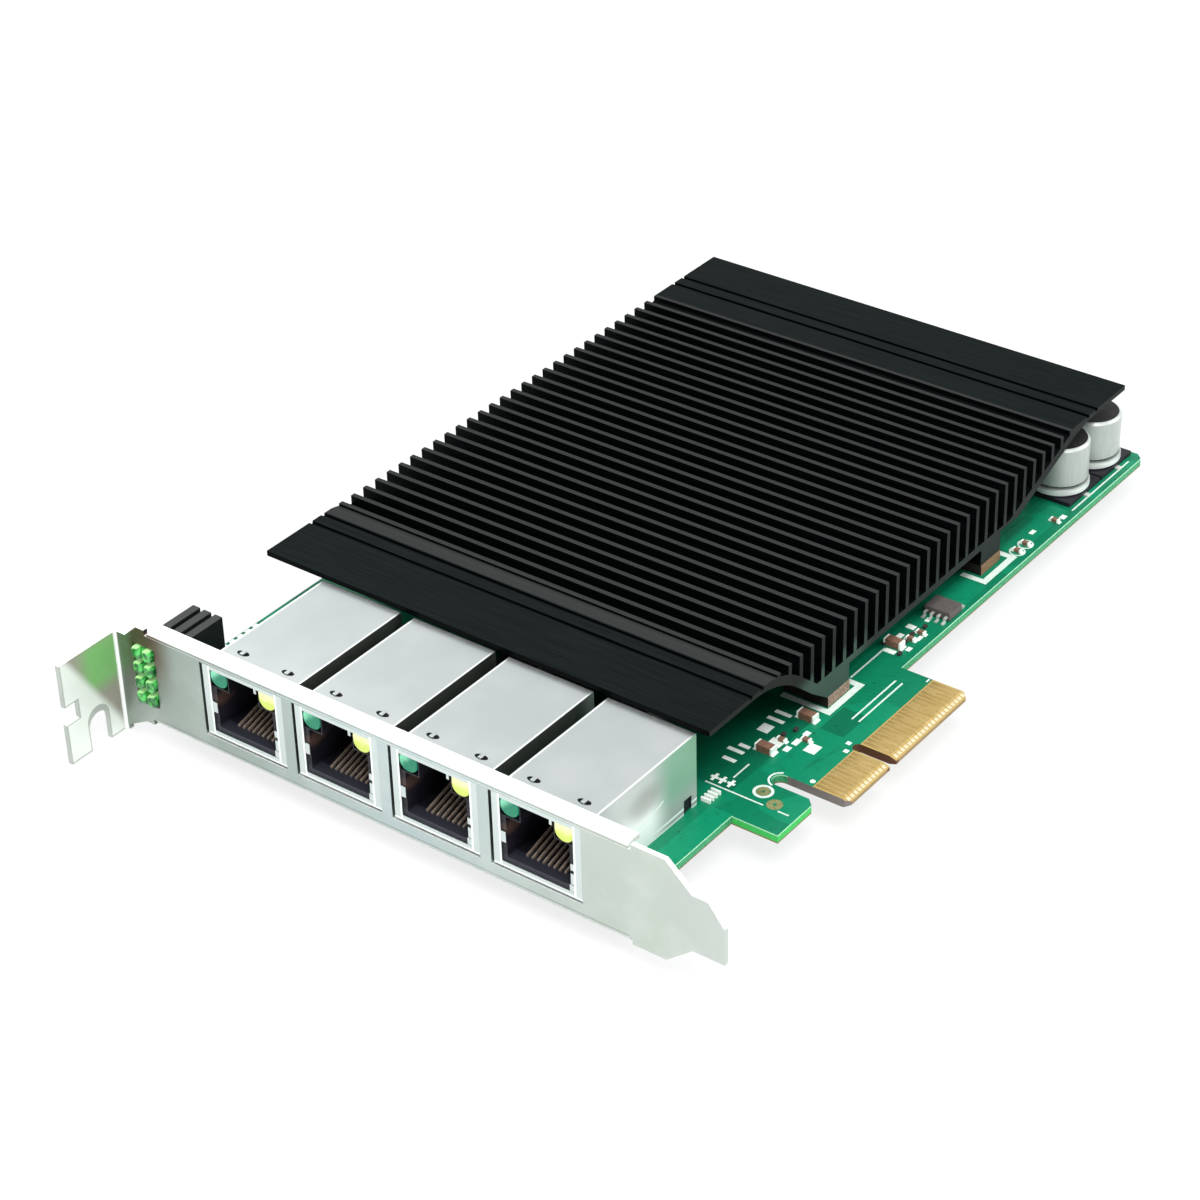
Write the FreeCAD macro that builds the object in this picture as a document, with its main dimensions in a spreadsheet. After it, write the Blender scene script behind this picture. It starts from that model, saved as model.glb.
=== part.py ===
import FreeCAD, Part
import math
import os
from types import SimpleNamespace

# Four-port network card with a full-height bracket and a finned heat sink.
# Working frame: X runs inwards from the plate's outer face, Y is 0 at the tab's outer face and falls
# towards the tongue, Z is 0 at the plate's lower edge. Each node's placement moves it to the centre of
# the card's footprint, with Z = 0 at the lowest edge.

doc = FreeCAD.newDocument("network_card")

sizes = {
    # bracket
    "sheet_thick": 0.86,
    "bracket_long": 120.02,
    "bracket_wide": 18.42,
    "tab_wide": 19.05,
    "tab_inset": 2.54,
    "tab_depth": 12.6,
    "bend_inner": 0.5,
    "neck_flat": 3.0,
    "neck_long": 5.8,
    "neck_straight": 0.2,
    "flange_deep": 2.9,
    "flange_start": 8.0,
    "flange_tail": 16.92,
    "relief_wide": 0.5,
    "relief_deep": 1.0,
    "shoulder_long": 4.7,
    "tongue_long": 5.62,
    "tongue_wide": 10.19,
    "tongue_rise": 3.87,
    "tongue_slope_high": 3.62,
    "tongue_slope_long": 2.82,
    "screw_slot_wide": 4.42,
    "screw_slot_x": 5.8,
    "screw_slot_deep": 6.4,
    "tab_notch_low": 7.6,
    "tab_notch_wide": 3.4,
    "tab_notch_deep": 2.9,
    "lug_long": 7.6,
    "lug_wide": 7.0,
    "lug_screw_x": 5.0,
    "lug_upper_y": 16.3,
    "lug_edge": 2.2,
    # circuit board
    "board_thick": 1.57,
    "board_low": 2.10,
    "board_near": 1.2,
    "board_end": 160.2,
    "board_top_y": 4.9,
    "board_room": 19.42,
    "board_corner": 1.2,
    "finger_start": 43.0,
    "near_segment": 11.65,
    "key_wide": 1.9,
    "far_segment": 21.65,
    "finger_long": 12.7,
    "finger_corner": 0.8,
    "key_deep": 7.4,
    "bevel_long": 1.3,
    "bevel_high": 0.45,
    "hook_near": 29.7,
    "hook_long": 8.5,
    "hook_corner": 1.2,
    "notch_wide": 2.9,
    "notch_over": 0.4,
    "pad_wide": 0.7,
    "pad_pitch": 1.0,
    "pad_long": 6.4,
    "pad_thick": 0.05,
    "pad_end_gap": 0.3,
    # ports
    "port_room": 40.0,
    "port_pitch": 19.35,
    "first_port_y": 28.2,
    "port_wide": 16.6,
    "port_headroom": 1.45,
    "port_recess": 0.1,
    "port_rear": 29.1,
    "port_gap": 0.1,
    "port_play": 0.5,
    "shield_thick": 0.25,
    "window_wide": 13.6,
    "window_low": 0.95,
    "window_high": 0.65,
    "insert_gap": 0.05,
    "cavity_wide": 11.8,
    "cavity_low": 1.8,
    "cavity_high": 7.5,
    "cavity_deep": 13.0,
    "latch_wide": 6.2,
    "latch_deep": 8.4,
    "light_wide": 3.5,
    "light_high": 3.1,
    "light_deep": 12.0,
    "light_gap": 0.05,
    "light_recess": 0.15,
    "wire_pitch": 1.02,
    "wire_wide": 0.36,
    "wire_thick": 0.3,
    "wire_start": 2.1,
    "wire_foot": 0.8,
    "wire_rise": 2.9,
    "wire_flat": 1.6,
    "shield_slot_x": 5.4,
    "shield_slot_long": 0.9,
    "shield_slot_wide": 1.7,
    "shield_slot_y": 4.7,
    "side_notch_x": 3.4,
    "side_notch_long": 2.0,
    "side_notch_high": 2.6,
    # status lights beside the ports
    "lens_wide": 1.95,
    "lens_split": 0.5,
    "lens_y": 5.75,
    "lens_z": 5.1,
    "lens_pitch_y": 2.3,
    "lens_room": 9.72,
    "lens_front": 0.8,
    "lens_round": 0.55,
    "lens_margin": 0.25,
    "holder_room": 3.52,
    "holder_y": 5.0,
    "holder_wide": 6.4,
    "holder_rear": 13.8,
    "holder_groove": 0.9,
    "holder_groove_deep": 1.3,
    "holder_gap": 0.1,
    # heat sink
    "sink_near": 29.3,
    "sink_far": 157.9,
    "sink_y": 7.5,
    "sink_margin": 3.7,
    "part_room": 14.47,
    "wing_thick": 0.95,
    "base_low": 8.8,
    "base_thick": 1.3,
    "skin_thick": 1.25,
    "near_bend_x": 41.0,
    "near_bend_radius": 18.5,
    "near_slope": 41.0,
    "far_bend_x": 147.0,
    "far_bend_radius": 24.0,
    "far_slope": 20.0,
    "far_toe_rise": 0.6,
    "foot_low": 5.6,
    "near_foot_x": 61.9,
    "far_foot_x": 109.2,
    "foot_wide": 6.25,
    "fin_first": 44.8,
    "fin_pitch": 3.13,
    "fin_thick": 0.9,
    "fin_count": 31,
    "rib_groove": 0.8,
    "rib_depth": 0.45,
    "near_rib_x": 39.9,
    "far_rib_x": 144.2,
    "rib_pitch": 3.0,
    "foot_screw_inset": 5.2,
    "foot_screw_radius": 1.2,
    "foot_thread_deep": 3.5,
    "foot_screw_reach": 3.0,
    "foot_head_radius": 2.6,
    "foot_head_high": 1.7,
    "hole_gap": 0.2,
    "gasket_wide": 8.4,
    "gasket_over": 0.15,
    # parts on the board
    "chip_wide": 25.0,
    "chip_x": 90.0,
    "chip_pitch": 33.0,
    "chip_base_high": 1.2,
    "chip_lid_high": 2.1,
    "chip_lid_inset": 1.6,
    "pad_inset": 3.0,
    "can_radius": 5.2,
    "can_base": 10.9,
    "can_base_high": 0.8,
    "can_high": 10.2,
    "can_x": 142.5,
    "can_pitch": 11.3,
    "can_edge": 7.6,
    "can_groove_low": 2.4,
    "can_groove_deep": 0.45,
    "can_groove_half": 0.4,
    "can_ring_out": 0.3,
    "can_edge_low": 0.3,
    "can_edge_top": 0.5,
    "can_base_cut": 2.4,
    "can_lead_wide": 1.1,
    "can_lead_long": 0.9,
    "regulator_x": 96.0,
    "regulator_edge": 3.0,
    "regulator_wide": 3.9,
    "regulator_long": 4.9,
    "regulator_high": 1.45,
    "regulator_lift": 0.15,
    "lead_pitch": 1.27,
    "lead_wide": 0.5,
    "lead_long": 1.6,
    "lead_thick": 0.22,
    "lead_rise": 0.7,
    "lead_knee": 0.6,
    "coil_wide": 7.2,
    "coil_high": 4.0,
    "coil_x": 40.5,
    "coil_first_y": 52.0,
    "coil_pitch": 22.0,
    "small_long": 3.2,
    "small_wide": 1.6,
    "small_high": 1.25,
    "tiny_long": 1.6,
    "tiny_wide": 0.8,
    "tiny_high": 0.6,
    "lug_screw_radius": 1.0,
    "lug_head_radius": 1.9,
    "lug_head_high": 1.3,
}

sheet = doc.addObject("Spreadsheet::Sheet", "size")
for row, (name, number) in enumerate(sizes.items(), start=1):
    sheet.set("A%d" % row, name)
    sheet.set("B%d" % row, str(number))
    sheet.setAlias("B%d" % row, name)
doc.recompute()
d = SimpleNamespace(**sizes)
nodes = []

# Levels and edges that follow from the sizes above, as expressions on the sheet.
TOP = "(size.board_low + size.board_thick)"
PORT_LOW = TOP
PORT_TOP = "(size.bracket_wide - size.port_headroom)"
PORT_HIGH = "(%s - %s)" % (PORT_TOP, TOP)
SINK_TOP = "(%s + size.part_room)" % TOP
FLOOR = "(%s + size.cavity_low)" % TOP
SHIFT = (
    "(size.tab_depth - size.board_end) / 2",
    "size.bracket_long / 2",
    "size.tab_wide + size.tab_inset - size.bracket_wide",
)
board_top = d.board_low + d.board_thick
board_edge_y = d.bracket_long - d.board_room
sink_top = board_top + d.part_room
BOARD_EDGE = "(size.bracket_long - size.board_room)"
SINK_LONG = "(%s - size.sink_y - size.sink_margin)" % BOARD_EDGE
CAN_Y = "(%s - size.can_edge)" % BOARD_EDGE
REGULATOR_Y = "(%s - size.regulator_edge)" % BOARD_EDGE
FLANGE_END = "(size.bracket_long - size.flange_tail)"
LENS_STEP = "((size.bracket_wide - size.lens_room) / 3)"
LENS_HIGH = "(%s - size.lens_split)" % LENS_STEP


def bind(item, **texts):
    for name, text in texts.items():
        item.setExpression(name.replace("__", "."), text)
    return item


def box(label, corner, extent):
    item = doc.addObject("Part::Box", label)
    bind(item, Length=extent[0], Width=extent[1], Height=extent[2])
    bind(item, Placement__Base__x=corner[0], Placement__Base__y=corner[1], Placement__Base__z=corner[2])
    return item


def centred_box(label, centre, extent, low):
    corner = ("%s - (%s) / 2" % (centre[0], extent[0]), "%s - (%s) / 2" % (centre[1], extent[1]), low)
    return box(label, corner, extent)


def cylinder(label, centre, low, radius, height):
    item = doc.addObject("Part::Cylinder", label)
    bind(item, Radius=radius, Height=height)
    bind(item, Placement__Base__x=centre[0], Placement__Base__y=centre[1], Placement__Base__z=low)
    return item


def fuse(label, items):
    item = doc.addObject("Part::MultiFuse", label)
    item.Shapes = items
    return item


def cut(label, base, tools):
    item = doc.addObject("Part::Cut", label)
    item.Base = base
    item.Tool = tools[0] if len(tools) == 1 else fuse(label + "_tools", tools)
    return item


def group(label, items):
    item = doc.addObject("Part::Compound", label)
    item.Links = items
    return item


def draw(sketch, outlines):
    # An outline is a list of corners; a corner given as a pair of points is an arc's middle and end.
    for outline in outlines:
        ends = [FreeCAD.Vector(*(p[-1] if isinstance(p[0], tuple) else p), 0) for p in outline]
        for place, corner in enumerate(outline):
            before, here = ends[place - 1], ends[place]
            if isinstance(corner[0], tuple):
                sketch.addGeometry(Part.Arc(before, FreeCAD.Vector(*corner[0], 0), here), False)
            else:
                sketch.addGeometry(Part.LineSegment(before, here), False)


def sketch_in(body, label, role, offset, outlines):
    sketch = body.newObject("Sketcher::SketchObject", label)
    plane = [item for item in body.Origin.OriginFeatures if item.Role == role][0]
    sketch.AttachmentSupport = [(plane, "")]
    sketch.MapMode = "FlatFace"
    sketch.setExpression("AttachmentOffset.Base.z", offset)
    draw(sketch, outlines)
    return sketch


def feature(body, kind, label, sketch, length, reverse=False):
    item = body.newObject("PartDesign::" + kind, label)
    item.Profile = sketch
    item.Reversed = reverse
    item.setExpression("Length", length)
    body.Tip = item
    return item


def row_of(body, label, original, sketch, axis, span, count):
    item = body.newObject("PartDesign::LinearPattern", label)
    item.Originals = [original]
    item.Direction = (sketch, [axis])
    bind(item, Length=span, Occurrences=count)
    body.Tip = item
    return item


def make_body(label):
    return doc.addObject("PartDesign::Body", label)


def node(label, item, across="0"):
    # The sub-part's label is its node name; across moves it along Y within the card.
    item.Label = label
    bind(item, Placement__Base__x=SHIFT[0], Placement__Base__y="%s + %s" % (SHIFT[1], across),
         Placement__Base__z=SHIFT[2])
    nodes.append(item)
    return item


# Circuit board: one outline with the hook, the retention notch, the key slot and the corner cuts.
finger_end = d.finger_start + d.near_segment + d.key_wide + d.far_segment
key_near = d.finger_start + d.near_segment
key_far = key_near + d.key_wide
hook_far = d.finger_start - d.notch_wide
key_round = d.key_wide / 2
notch_round = d.notch_wide / 2
edge, corner = -board_edge_y, d.finger_corner
tip, hook_tip = edge - d.finger_long, edge - d.hook_long
key_top, notch_top, pad_start = tip + d.key_deep, edge + d.notch_over, tip + d.pad_long
board_outline = [
    (d.board_near, -d.board_top_y),
    (d.board_near, edge),
    (d.hook_near, edge),
    (d.hook_near, hook_tip),
    (hook_far - d.hook_corner, hook_tip),
    (hook_far, hook_tip + d.hook_corner),
    (hook_far, notch_top - notch_round),
    ((hook_far + notch_round, notch_top), (d.finger_start, notch_top - notch_round)),
    (d.finger_start, tip + corner),
    (d.finger_start + corner, tip),
    (key_near, tip),
    (key_near, key_top - key_round),
    ((key_near + key_round, key_top), (key_far, key_top - key_round)),
    (key_far, tip),
    (finger_end - corner, tip),
    (finger_end, tip + corner),
    (finger_end, edge),
    (d.board_end - d.board_corner, edge),
    (d.board_end, edge + d.board_corner),
    (d.board_end, -d.board_top_y),
]
board = make_body("board_body")
board_sketch = sketch_in(board, "board_sketch", "XY_Plane", "size.board_low", [board_outline])
feature(board, "Pad", "board_sheet", board_sketch, "size.board_thick")
bevels = []
for level, turn in ((board_top, -1), (d.board_low, 1)):
    bevels.append([(tip - 1, level - turn), (tip + d.bevel_long, level),
                   (tip, level + turn * d.bevel_high), (tip - 1, level + turn * d.bevel_high)])
bevel_sketch = sketch_in(board, "bevel_sketch", "YZ_Plane", "size.board_near", bevels)
feature(board, "Pocket", "finger_bevel", bevel_sketch, "size.board_end", True)

SCREW_ROWS = (
    "-(size.sink_y + size.foot_screw_inset)",
    "-(size.sink_y + %s - size.foot_screw_inset)" % SINK_LONG,
)
FOOT_MIDDLES = ("(size.near_foot_x + size.foot_wide / 2)", "(size.far_foot_x + size.foot_wide / 2)")
foot_spots = [(middle, across) for middle in FOOT_MIDDLES for across in SCREW_ROWS]
LUG_ROWS = ("size.lug_upper_y", "(%s - size.lug_edge)" % BOARD_EDGE)
lug_spots = [("size.lug_screw_x", "-" + across) for across in LUG_ROWS]
board_holes = []
for place, spot in enumerate(foot_spots):
    board_holes.append(cylinder("board_foot_hole_%d" % place, spot, "size.board_low - 1",
                                "size.foot_screw_radius + size.hole_gap", "size.board_thick + 2"))
for place, spot in enumerate(lug_spots):
    board_holes.append(cylinder("board_lug_hole_%d" % place, spot, "size.board_low - 1",
                                "size.lug_screw_radius + size.hole_gap / 2", "size.board_thick + 2"))
node("circuit_board", cut("circuit_board", board, board_holes))

# Edge contacts: a thin strip that lies on the board's face and follows the bevel, in rows on both faces.
contacts = make_body("edge_contacts")
strip_end = tip + d.pad_end_gap
bevel_drop = d.bevel_high * (d.bevel_long - d.pad_end_gap) / d.bevel_long
FAR_START = "(size.finger_start + size.near_segment + size.key_wide)"
segments = (("size.finger_start", d.near_segment), (FAR_START, d.far_segment))
for face, level, turn in (("top", board_top, 1), ("low", d.board_low, -1)):
    lift = turn * d.pad_thick
    strip = [(pad_start, level), (tip + d.bevel_long, level), (strip_end, level - turn * bevel_drop),
             (strip_end, level - turn * bevel_drop + lift), (tip + d.bevel_long, level + lift),
             (pad_start, level + lift)]
    for place, (start, length) in enumerate(segments):
        count = int(length / d.pad_pitch)
        margin = (length - (count - 1) * d.pad_pitch - d.pad_wide) / 2
        name = "%s_%d" % (face, place)
        pad_sketch = sketch_in(contacts, "strip_sketch_" + name, "YZ_Plane", "%s + %r" % (start, margin),
                               [strip])
        pad = feature(contacts, "Pad", "strip_" + name, pad_sketch, "size.pad_wide")
        span = "%d * size.pad_pitch" % (count - 1)
        row_of(contacts, "strip_row_" + name, pad, pad_sketch, "N_Axis", span, "%d" % count)
node("edge_contacts", contacts)

# Bracket: the flat plate with neck, shoulders and tongue, then the C-shaped flanges and the bent tab.
tab_top = d.bracket_wide - d.tab_inset
tab_low = tab_top - d.tab_wide
bend_outer = d.bend_inner + d.sheet_thick
blend = bend_outer + d.neck_straight
blend_low = tab_low * (1 - blend / d.neck_long)
inner_start = d.flange_start - d.relief_wide
inner_end = d.bracket_long - d.flange_tail + d.relief_wide
tongue_top = d.tongue_rise + d.tongue_wide
shoulder_end = d.bracket_long - d.tongue_long
shoulder_start = shoulder_end - d.shoulder_long
plate_outline = [
    (-blend, blend_low),
    (-d.neck_long, 0),
    (-inner_start, 0),
    (-inner_start, d.relief_deep),
    (-inner_end, d.relief_deep),
    (-inner_end, 0),
    (-shoulder_start, 0),
    (-shoulder_end, d.tongue_rise),
    (-d.bracket_long, d.tongue_rise),
    (-d.bracket_long, tongue_top - d.tongue_slope_high),
    (-d.bracket_long + d.tongue_slope_long, tongue_top),
    (-shoulder_end, tongue_top),
    (-shoulder_start, d.bracket_wide),
    (-inner_end, d.bracket_wide),
    (-inner_end, d.bracket_wide - d.relief_deep),
    (-inner_start, d.bracket_wide - d.relief_deep),
    (-inner_start, d.bracket_wide),
    (-d.neck_long, d.bracket_wide),
    (-d.neck_flat, tab_top),
    (-blend, tab_top),
]


def bend(centre, radius, start, end):
    # middle and end of an arc about a centre, from its angles in degrees
    points = []
    for angle in ((start + end) / 2, end):
        points.append((centre[0] + radius * math.cos(math.radians(angle)),
                       centre[1] + radius * math.sin(math.radians(angle))))
    return tuple(points)


wide, thick = d.bracket_wide, d.sheet_thick
flange_profile = [
    (d.flange_deep, 0),
    (d.flange_deep, thick),
    (bend_outer, thick),
    bend((bend_outer, bend_outer), d.bend_inner, 270, 180),
    (thick, wide - bend_outer),
    bend((bend_outer, wide - bend_outer), d.bend_inner, 180, 90),
    (d.flange_deep, wide - thick),
    (d.flange_deep, wide),
    (bend_outer, wide),
    bend((bend_outer, wide - bend_outer), bend_outer, 90, 180),
    (0, bend_outer),
    bend((bend_outer, bend_outer), bend_outer, 180, 270),
]
tab_profile = [
    (-d.tab_depth, 0),
    (-d.tab_depth, -thick),
    (-d.bend_inner, -thick),
    bend((-d.bend_inner, -bend_outer), d.bend_inner, 90, 0),
    (0, -blend),
    (thick, -blend),
    (thick, -bend_outer),
    bend((-d.bend_inner, -bend_outer), bend_outer, 0, 90),
]
bracket = make_body("bracket_body")
plate_sketch = sketch_in(bracket, "plate_sketch", "YZ_Plane", "0", [plate_outline])
feature(bracket, "Pad", "plate", plate_sketch, "size.sheet_thick")
flange_sketch = sketch_in(bracket, "flange_sketch", "XZ_Plane", "size.flange_start", [flange_profile])
feature(bracket, "Pad", "flanges", flange_sketch, FLANGE_END + " - size.flange_start")
TAB_LOW = "(size.bracket_wide - size.tab_inset - size.tab_wide)"
tab_sketch = sketch_in(bracket, "tab_sketch", "XY_Plane", TAB_LOW, [tab_profile])
feature(bracket, "Pad", "tab", tab_sketch, "size.tab_wide")
LUG_LOW = "size.board_low - size.sheet_thick"
lugs = []
for place, across in enumerate(LUG_ROWS):
    lugs.append(box("lug_%d" % place, ("0", "-%s - size.lug_wide / 2" % across, LUG_LOW),
                    ("size.sheet_thick + size.lug_long", "size.lug_wide", "size.sheet_thick")))
bracket_form = fuse("bracket_form", [bracket] + lugs)
SLOT_ROUND = "size.screw_slot_wide / 2"
slot_round = doc.addObject("Part::Cylinder", "screw_slot_round")
slot_round.Placement.Rotation = FreeCAD.Rotation(FreeCAD.Vector(1, 0, 0), 90)
bind(slot_round, Radius=SLOT_ROUND, Height="3 * size.sheet_thick")
bind(slot_round, Placement__Base__x="-size.screw_slot_x", Placement__Base__y="size.sheet_thick",
     Placement__Base__z="%s + size.screw_slot_deep - %s" % (TAB_LOW, SLOT_ROUND))
bracket_cuts = [
    slot_round,
    box("screw_slot", ("-size.screw_slot_x - " + SLOT_ROUND, "-2 * size.sheet_thick", TAB_LOW + " - 1"),
        ("size.screw_slot_wide", "3 * size.sheet_thick", "size.screw_slot_deep - %s + 1" % SLOT_ROUND)),
    box("tab_notch", ("-size.tab_depth - 1", "-2 * size.sheet_thick", TAB_LOW + " + size.tab_notch_low"),
        ("size.tab_notch_deep + 1", "3 * size.sheet_thick", "size.tab_notch_wide")),
    box("lens_opening",
        ("-size.sheet_thick", "-(size.lens_y + size.lens_pitch_y + size.lens_wide / 2 + size.lens_margin)",
         "size.lens_z - %s / 2 - size.lens_margin" % LENS_HIGH),
        ("3 * size.sheet_thick", "size.lens_pitch_y + size.lens_wide + 2 * size.lens_margin",
         "3 * %s + %s + 2 * size.lens_margin" % (LENS_STEP, LENS_HIGH))),
]
port_count = int((d.bracket_long - d.port_room) / d.port_pitch)
# Each port stands close to its opening above and on the tongue side, with play below and on the tab side.
PORT_MIDDLES = ["-(size.first_port_y + %d * size.port_pitch)" % port for port in range(port_count)]
for port, middle in enumerate(PORT_MIDDLES):
    bracket_cuts.append(box("port_opening_%d" % port,
                            ("-size.sheet_thick", middle + " - size.port_wide / 2 - size.port_gap",
                             PORT_LOW + " - size.port_play"),
                            ("2 * size.sheet_thick + size.flange_deep",
                             "size.port_wide + size.port_gap + size.port_play",
                             PORT_HIGH + " + size.port_gap + size.port_play")))
for place, spot in enumerate(lug_spots):
    bracket_cuts.append(cylinder("lug_hole_%d" % place, spot, LUG_LOW + " - 1", "size.lug_screw_radius",
                                 "size.sheet_thick + 2"))
node("bracket", cut("bracket", bracket_form, bracket_cuts))

# Ports: a shield of thin sheet round a moulded insert with the plug cavity, eight spring wires and two
# light pipes. Each is drawn about its own middle plane and placed along the bracket.
LIGHT_FRONT = "size.port_recess + size.light_recess"
WINDOW_LOW = "%s + size.window_low" % PORT_LOW
WINDOW_TOP = "(%s - size.window_high)" % PORT_TOP
INSERT_FRONT = "(size.port_recess + size.shield_thick + size.insert_gap)"
SKIN = "(size.shield_thick + size.insert_gap)"
INSERT_TOP = "(%s - %s)" % (PORT_TOP, SKIN)
LIGHT_LOW = "(%s - size.light_high)" % WINDOW_TOP


def make_shield(port):
    tag = "_%d" % port
    outer = box("shield_outer" + tag, ("size.port_recess", "-size.port_wide / 2", PORT_LOW),
                ("size.port_rear - size.port_recess", "size.port_wide", PORT_HIGH))
    tools = [
        box("shield_inner" + tag,
            ("size.port_recess + size.shield_thick", "-size.port_wide / 2 + size.shield_thick",
             PORT_LOW + " - 1"),
            ("size.port_rear - size.port_recess - 2 * size.shield_thick",
             "size.port_wide - 2 * size.shield_thick", PORT_HIGH + " + 1 - size.shield_thick")),
        box("shield_window" + tag, ("size.port_recess - 1", "-size.window_wide / 2", WINDOW_LOW),
            ("2", "size.window_wide", PORT_HIGH + " - size.window_low - size.window_high")),
        box("shield_side_notch" + tag,
            ("size.port_rear - size.side_notch_x", "-size.port_wide", PORT_LOW + " - 1"),
            ("size.side_notch_long", "2 * size.port_wide", "size.side_notch_high + 1")),
    ]
    for side, sign in enumerate(("-", "")):
        tools.append(box("shield_slot%s_%d" % (tag, side),
                         ("size.shield_slot_x", "%ssize.shield_slot_y - size.shield_slot_wide / 2" % sign,
                          PORT_TOP + " - size.shield_thick - size.insert_gap / 2"),
                         ("size.shield_slot_long", "size.shield_slot_wide", "1")))
    return cut("shield" + tag, outer, tools)


def make_insert(port):
    tag = "_%d" % port
    block = box("insert_block" + tag, (INSERT_FRONT, "-size.port_wide / 2 + " + SKIN, PORT_LOW),
                ("size.port_rear - %s - %s" % (SKIN, INSERT_FRONT), "size.port_wide - 2 * " + SKIN,
                 "%s - %s" % (INSERT_TOP, PORT_LOW)))
    tools = [
        box("plug_cavity" + tag, ("%s - 1" % INSERT_FRONT, "-size.cavity_wide / 2", FLOOR),
            ("size.cavity_deep + 1", "size.cavity_wide", "size.cavity_high")),
        box("latch_slot" + tag, ("%s - 1" % INSERT_FRONT, "-size.latch_wide / 2", FLOOR + " + 1"),
            ("size.latch_deep + 1", "size.latch_wide", "%s - %s - 1" % (WINDOW_TOP, FLOOR))),
    ]
    for side, start in enumerate(("-size.window_wide / 2", "size.window_wide / 2 - size.light_wide")):
        tools.append(box("light_pocket%s_%d" % (tag, side), ("%s - 1" % INSERT_FRONT, start, LIGHT_LOW),
                         ("size.light_deep + 1", "size.light_wide", "size.light_high")))
    return cut("insert" + tag, block, tools)


def make_wires(port):
    # A wire stands on the cavity's floor, rises towards the rear and runs flat into the rear wall.
    wires = make_body("wires_%d" % port)
    floor = board_top + d.cavity_low
    rear = d.port_recess + d.shield_thick + d.insert_gap + d.cavity_deep
    start, high = d.wire_start, floor + d.wire_rise
    profile = [(start, floor), (start + d.wire_foot, floor), (rear - d.wire_flat, high - d.wire_thick),
               (rear, high - d.wire_thick), (rear, high), (rear - d.wire_flat, high),
               (start, floor + d.wire_thick)]
    wire_sketch = sketch_in(wires, "wire_sketch_%d" % port, "XZ_Plane",
                            "-(7 * size.wire_pitch + size.wire_wide) / 2", [profile])
    wire = feature(wires, "Pad", "wire_%d" % port, wire_sketch, "size.wire_wide")
    row_of(wires, "wire_row_%d" % port, wire, wire_sketch, "N_Axis", "7 * size.wire_pitch", "8")
    return wires


for port, middle in enumerate(PORT_MIDDLES):
    node("shield_%d" % (port + 1), make_shield(port), middle)
    node("insert_%d" % (port + 1), make_insert(port), middle)
    node("contacts_%d" % (port + 1), make_wires(port), middle)

PIPE_GAP = "size.light_gap"
for label, start in (("link_lights", "size.window_wide / 2 - size.light_wide"),
                     ("activity_lights", "-size.window_wide / 2")):
    pipes = []
    extent = ("%s + size.light_deep - (%s)" % (INSERT_FRONT, LIGHT_FRONT),
              "size.light_wide - 2 * " + PIPE_GAP, "size.light_high - 2 * " + PIPE_GAP)
    for port, middle in enumerate(PORT_MIDDLES):
        near = (LIGHT_FRONT, "%s + %s + %s" % (middle, start, PIPE_GAP), "%s + %s" % (LIGHT_LOW, PIPE_GAP))
        pipes.append(box("%s_%d" % (label, port), near, extent))
    node(label, group(label, pipes))

# Status lights: two columns of four lenses through the plate, in front of a ridged holder on the board.
lenses = []
for column in range(2):
    for level in range(4):
        lens = box("lens_%d_%d" % (column, level),
                   ("-size.lens_front",
                    "-(size.lens_y + %d * size.lens_pitch_y + size.lens_wide / 2)" % column,
                    "size.lens_z + %d * %s - %s / 2" % (level, LENS_STEP, LENS_HIGH)),
                   ("size.lens_front + size.sheet_thick + size.holder_gap", "size.lens_wide", LENS_HIGH))
        lenses.append(lens)
doc.recompute()
rounded = []
for lens in lenses:
    front = [place + 1 for place, side in enumerate(lens.Shape.Edges)
             if all(abs(point.X + d.lens_front) < 0.001 for point in side.Vertexes)]
    soft = doc.addObject("Part::Fillet", lens.Name + "_soft")
    soft.Base = lens
    soft.Edges = [(place, d.lens_round, d.lens_round) for place in front]
    rounded.append(soft)
node("status_lights", group("status_lights", rounded))

holder_top, groove = d.bracket_wide - d.holder_room, d.holder_groove
ridge = (d.holder_wide - 2 * groove) / 3
holder_outline = [(-d.holder_y, board_top), (-d.holder_y, holder_top)]
for place in range(2):
    start = -d.holder_y - ridge * (place + 1) - groove * place
    holder_outline += [(start, holder_top), (start, holder_top - d.holder_groove_deep),
                       (start - groove, holder_top - d.holder_groove_deep), (start - groove, holder_top)]
holder_outline += [(-d.holder_y - d.holder_wide, holder_top), (-d.holder_y - d.holder_wide, board_top)]
holder = make_body("light_holder")
holder_sketch = sketch_in(holder, "holder_sketch", "YZ_Plane", "size.sheet_thick + size.holder_gap",
                          [holder_outline])
HOLDER_LONG = "size.holder_rear - size.sheet_thick - size.holder_gap"
feature(holder, "Pad", "holder_block", holder_sketch, HOLDER_LONG)
node("light_holder", holder)


# Heat sink: an extrusion whose thin wings curve down to a low base with two feet. The slots between the
# fins stop at the base's upper skin, which follows the same curve, so the outer fins get shorter.
def near_curve(shift, level):
    # from the wing's flat underside round the bend and down its slope to the given level
    bend_x, flat_z = d.near_bend_x + shift, sink_top - d.wing_thick + shift
    radius, slope = d.near_bend_radius, d.near_slope
    arc = bend((bend_x, flat_z - radius), radius, 90, 90 - slope)
    fall = (arc[1][1] - level) / math.tan(math.radians(slope))
    return [(bend_x, flat_z), arc, (arc[1][0] + fall, level)]


def far_curve(shift, level):
    # from the given level at the toe up the slope and round the bend to the far wing's underside
    bend_x, flat_z = d.far_bend_x - shift, sink_top - d.wing_thick + shift
    radius, slope = d.far_bend_radius, d.far_slope
    arc = bend((bend_x, flat_z - radius), radius, 90 + slope, 90)
    start = (bend_x - radius * math.sin(math.radians(slope)),
             flat_z - radius + radius * math.cos(math.radians(slope)))
    fall = (start[1] - level) / math.tan(math.radians(slope))
    return [(start[0] - fall, level), start, arc]


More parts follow.
